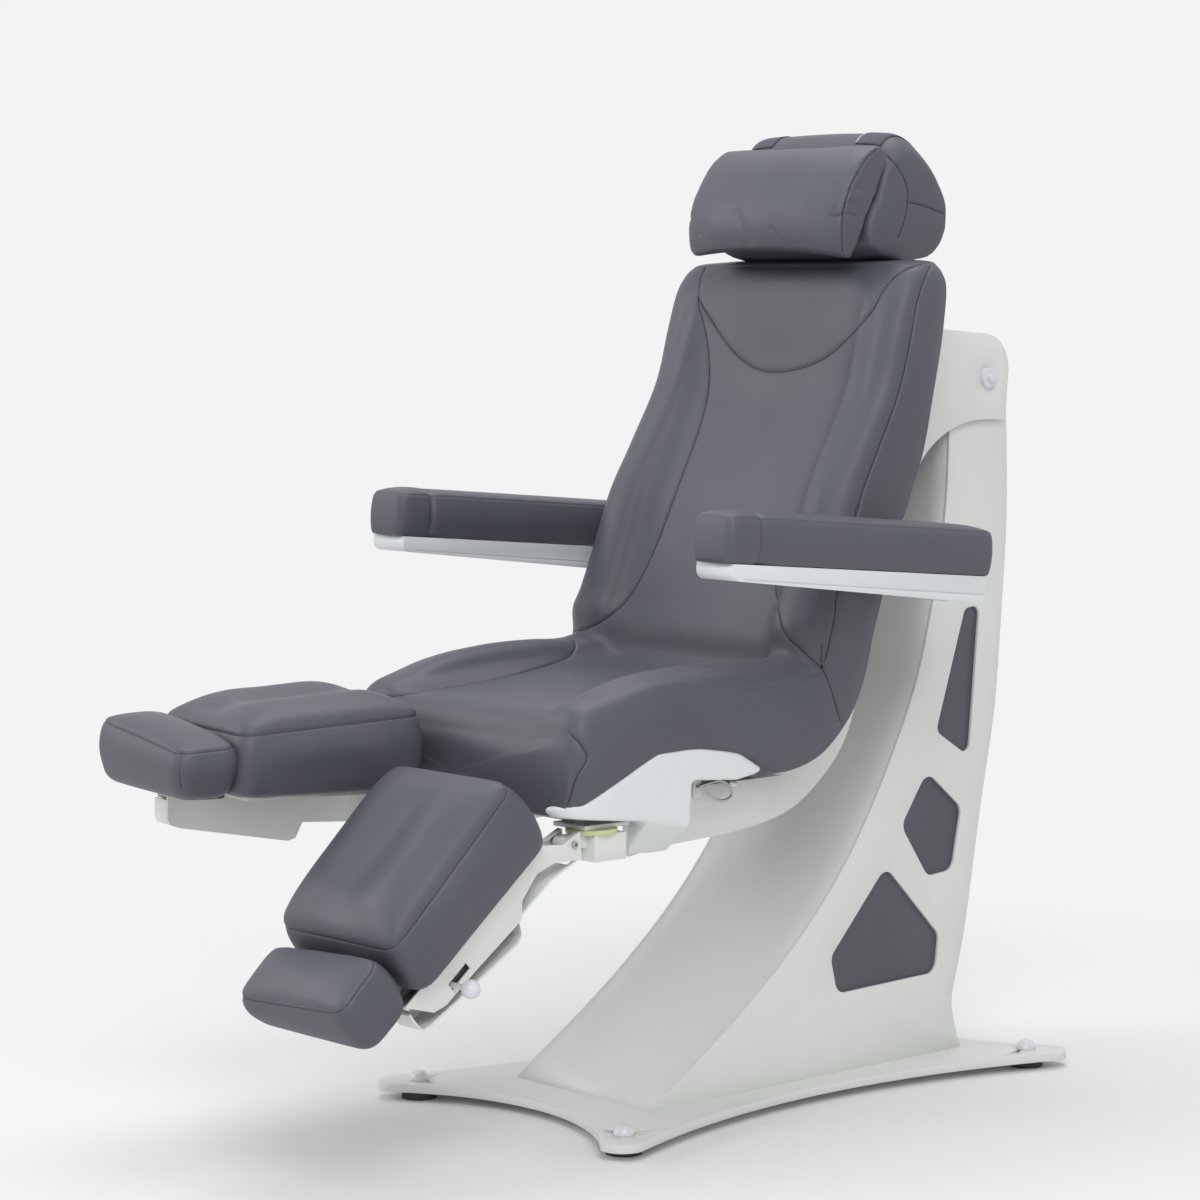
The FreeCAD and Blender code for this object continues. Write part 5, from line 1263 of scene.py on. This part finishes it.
@dataclass
class HeadRest(Padding):
    """The pillow, the roll behind it and the two straps between them."""

    cap_mm: float = 3.5
    roll_middle: tuple[float, float] = (205.0, 1293.0)
    strap_across: tuple[float, float] = (86.0, 134.0)
    strap_turn: tuple[float, float] = (118.0, -18.0)
    strap_thick: float = 1.6
    edge_radius: float = 1.1
    pillow_seams: tuple = (
        # Front edge of the near end panel, as the photograph shows it
        Seam(None, (
            (878.5, 148.5), (873, 151), (864, 161), (855, 177), (849, 193), (844, 210), (842, 225), (842, 240),
            (842.5, 253),
        )),
        # Short pleats across that edge and soft folds in the lower half
        Seam(None, ((831, 216.5), (838, 217.5), (844, 213), (856, 216)), groove_mm=2.4, half_width_mm=2.6, cord=False),
        Seam(None, ((851, 189), (856, 187.5), (862, 190)), groove_mm=2.0, half_width_mm=2.6, cord=False),
        Seam(None, ((845, 203), (852, 202), (858, 205)), groove_mm=1.5, half_width_mm=2.6, cord=False),
        Seam(None, ((736, 212), (741, 226), (747, 243)), groove_mm=2.4, half_width_mm=7, cord=False, mirror=False),
        Seam(None, ((771, 229), (777, 236), (784, 245)), groove_mm=1.8, half_width_mm=6, cord=False, mirror=False),
        Seam(None, ((700, 234), (707, 243)), groove_mm=1.8, half_width_mm=5, cord=False, mirror=False),
    )
    roll_seams: tuple = (
        # Round the near end, and the short one that runs back from it
        Seam(None, (
            (886, 156), (894, 162), (902, 172), (908, 187), (909, 200), (907, 215), (903, 228), (899, 238),
        )),
        Seam(None, ((909, 202), (919, 204), (932, 208.5), (946, 214.5))),
    )

    def _straps(self, roll: bpy.types.Object) -> None:
        """Lay both straps on the roll: each point of a strap is where a line towards the roll's middle, at an angle
        that turns from the front to the rear, meets the cover, lifted by the strap's thickness."""
        tree = search_tree(roll)
        turns = np.radians(np.linspace(*self.strap_turn, 60))
        for name, side in (("left", 1), ("right", -1)):
            grid = []
            for x in np.linspace(*self.strap_across, 10):
                row = []
                for turn in turns:
                    way = Vector((0, math.cos(turn), math.sin(turn)))
                    start = Vector((side * x, *self.roll_middle)) * MM + way * 0.2
                    hit = tree.ray_cast(start, -way)[0]
                    row.append(tuple(hit + way * 0.9 * MM))
                grid.append(row)
            points = np.array(grid)
            item = new_piece(f"head_strap_{name}", points.reshape(-1, 3), grid_faces(*points.shape[:2], False).tolist())
            WEBBING.on(item)
            thick = item.modifiers.new("thick", "SOLIDIFY")
            thick.thickness = self.strap_thick * MM
            thick.offset = 0
            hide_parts("head_straps")
            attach(item, "headrest")
            right_edge = points[0] if side > 0 else points[-1]
            edge = join_parts(f"head_strap_edge_{name}", [tube(right_edge, self.edge_radius * MM)])
            PALE_EDGE.on(edge)
            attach(edge, "headrest")

    def _plump_roll(self, item: bpy.types.Object) -> None:
        """Raise the roll's top: 6 mm times (1 - (x / 160)^2), blended in over the upper 70 mm."""
        points = coordinates(item.data)
        over = np.clip((points[:, 2] - 1.30) / 0.07, 0, 1)
        points[:, 2] += 6 * MM * np.clip(1 - (points[:, 0] / 0.16) ** 2, 0, 1) * over * over * (3 - 2 * over)
        move_to(item.data, points)

    def _plump_pillow(self, item: bpy.types.Object) -> None:
        """Draw the pillow's long edges in between its corners, where u runs from -1 to 1 across and m is 1 - |u|^3: the
        lower edge rises by 9 mm times m, less 3 mm times u on the near side and plus 2 mm times -u on the far one, and
        the upper edge moves by 3 mm less 8 mm times m."""
        points = coordinates(item.data)
        u = points[:, 0] / 0.16
        middle = np.clip(1 - np.abs(u) ** 3, 0, 1)
        low = np.clip((1.262 - points[:, 2]) / 0.058, 0, 1) ** 1.5
        high = np.clip((points[:, 2] - 1.325) / 0.045, 0, 1) ** 1.5
        points[:, 2] += (9 * middle - 3 * np.clip(u, 0, 1) + 2 * np.clip(-u, 0, 1)) * MM * low
        points[:, 2] += (3 - 8 * middle) * MM * high
        move_to(item.data, points)

    def build(self) -> None:
        """Make the pieces."""
        roll = self.from_solid("head_roll", "head_roll_cover", shrink_mm=0)
        self._plump_roll(roll)
        self.stuff(roll)
        self.divide(roll)
        Sewing(roll, "headrest", self.eye).sew(list(self.roll_seams))
        self.cover(roll, "headrest", ("head_roll",), 0.85)
        self._straps(roll)
        pillow = self.from_solid("head_pillow", "head_pillow_cover", shrink_mm=0, rounds=9)
        self._plump_pillow(pillow)
        self.stuff(pillow)
        self.divide(pillow)
        Sewing(pillow, "headrest", self.eye).sew(list(self.pillow_seams))
        self.cover(pillow, "headrest", ("head_pillow",), 0.7)


@dataclass
class PullLoops:
    """The bent wire loops under the fairings, each with its nylon grip."""

    hinge: tuple[float, float, float] = (200.0, -248.25, 480.9)
    reach: float = 62.0
    drop: float = 24.0
    wire_radius: float = 1.9
    grip_radius: float = 4.2
    stub_to: float = 158.0
    bends: tuple = (
        (0, 0), (0.14, -0.06), (0.28, -0.45), (0.48, -0.84), (0.74, -1), (0.97, -0.82), (0.98, -0.45), (0.82, -0.02),
        (0.62, 0.16), (0.34, 0.13),
    )

    def build(self) -> None:
        """Make both loops: a round wire carried along a smooth closed curve through its bends, and a straight stub."""
        x, y, z = self.hinge
        for name, side in (("left", 1), ("right", -1)):
            table = np.array([(side * x, y + a * self.reach, z + b * self.drop) for a, b in self.bends]) * MM
            path = smooth_rows(table, np.linspace(0, len(table), 140), closed=True)
            stub = np.linspace((side * self.stub_to * MM, y * MM, z * MM), table[0], 6)
            wire = join_parts(f"pull_loop_wire_{name}", [
                tube(path, self.wire_radius * MM, 12), tube(stub, self.wire_radius * MM, 12),
            ])
            ZINC_PLATE.on(wire)
            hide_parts(f"release_loop_{name}")
            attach(wire, f"loop_{name}")
            along = np.linspace(0, 1, 12)
            ahead, down = y + self.reach * 0.9 + along * 15, z - self.drop * (0.05 + 0.1 * along)
            line = np.stack([np.full(12, side * x), ahead, down], 1)
            points, faces = tube(line * MM, self.grip_radius * MM, 16)
            middle = np.repeat(line * MM, 16, axis=0)
            swell = np.repeat(np.clip(1 - (2 * along - 1) ** 4, 0.04, 1) ** 0.5, 16)
            grip = new_piece(f"pull_loop_grip_{name}", middle + (points - middle) * swell[:, None], faces.tolist())
            ACETAL.on(grip)
            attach(grip, f"loop_{name}")


@dataclass
class Hardware:
    """Painted, plated and moulded solids that keep their own shape and get softened edges and a finish."""

    # node name start: finish, edge radius in millimetres
    dress: tuple = (
        ("base_plate", POWDER_PAINT, 1.0), ("column_cheek", POWDER_PAINT, 0.8),
        ("column_front_skin", POWDER_PAINT, 0.0), ("column_rear_cover", POWDER_PAINT, 0.0),
        ("window_panels", LEATHERETTE, 0.6), ("foot_caps", ACETAL, 0.0), ("levelling_foot", RUBBER, 1.2),
        ("mast_guide_pads", GUIDE_POLYMER, 0.5), ("column_crossmembers", BLACK_PAINT_AND_SHADOW, 1.0),
        ("lift_actuator_rod", CHROME_ROD, 0.5), ("lift_actuator", BLACK_NYLON, 2.0),
        ("control_box", BLACK_NYLON, 3.0), ("power_inlet", BLACK_NYLON, 0.8), ("mast_head", POWDER_PAINT, 2.0),
        ("mast", ZINC_PLATE, 2.0), ("pivot_shaft", ZINC_PLATE, 0.8), ("carrier_plate", POWDER_PAINT, 0.9),
        ("pivot_bushes", ACETAL, 0.8), ("carrier_crosstubes", POWDER_PAINT, 0.8), ("seat_frame", POWDER_PAINT, 1.0),
        ("seat_pan", BLACK_PAINT_AND_SHADOW, 0.8), ("back_board", LEATHERETTE, 0.8), ("side_fairing", MOULDED_ABS, 3.0),
        ("swivel_rings", CAST_NYLON, 0.6), ("headrest_sleeves", ZINC_PLATE, 0.5),
        ("armrest_shaft", ZINC_PLATE, 1.0), ("tilt_actuator_rod", CHROME_ROD, 0.5),
        ("tilt_actuator", BLACK_NYLON, 1.5), ("armrest_tray", MOULDED_ABS, 1.5), ("headrest_bars", CHROME_ROD, 1.0),
        ("head_straps", WEBBING, 0.3), ("swivel_block", POWDER_PAINT, 1.5), ("leg_hinge_pin", ZINC_PLATE, 0.8),
        ("leg_arm", POWDER_PAINT, 0.8), ("foot_slide", ZINC_PLATE, 0.8), ("clamp_knob", ACETAL, 0.0),
        ("release_loop", ZINC_PLATE, 0.0),
    )
    fairing_voxel_mm: float = 2.0
    fairing_rounds: int = 40
    weld_mm: float = 0.01
    least_edge_mm: float = 0.15
    crease_degrees: float = 32.0

    def build(self, nodes: dict) -> None:
        """Dress every solid that still shows.

        Args:
            nodes: The frame's nodes by name.
        """
        for name, item in nodes.items():
            finish, edge = next(((f, r) for start, f, r in self.dress if name.startswith(start)), (LEATHERETTE, 0.0))
            finish.on(item)
            if name.startswith("side_fairing"):
                # A moulded shell gets flowing edges: an even fine mesh, then many rounds of smoothing
                even_out(item, self.fairing_voxel_mm, self.fairing_rounds)
            else:
                self._soften(item, edge)

    def _soften(self, item: bpy.types.Object, edge: float) -> None:
        """Weld the loose triangles, round the edges and shade the curved faces smoothly."""
        item.data.shade_smooth()
        weld = item.modifiers.new("weld", "WELD")
        weld.merge_threshold = self.weld_mm * MM
        bevel = item.modifiers.new("edges", "BEVEL")
        bevel.width = max(edge, self.least_edge_mm) * MM
        bevel.segments = 2 if edge > 0.4 else 1
        bevel.limit_method = "ANGLE"
        bevel.angle_limit = math.radians(self.crease_degrees)
        bevel.harden_normals = True
        bevel.use_clamp_overlap = True


def main() -> None:
    """Build the chair round its frame, piece by piece."""
    logging.basicConfig(level=logging.INFO, format="%(message)s")
    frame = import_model()
    bpy.context.scene.view_settings.view_transform = "Standard"
    eye = Eye()
    eye.camera()
    Studio().build()
    Hardware().build(frame["nodes"])
    BucketShell(eye).build()
    LegRests(eye).build()
    ArmPads(eye).build()
    HeadRest(eye).build()
    PullLoops().build()


if __name__ == "__main__":
    main()
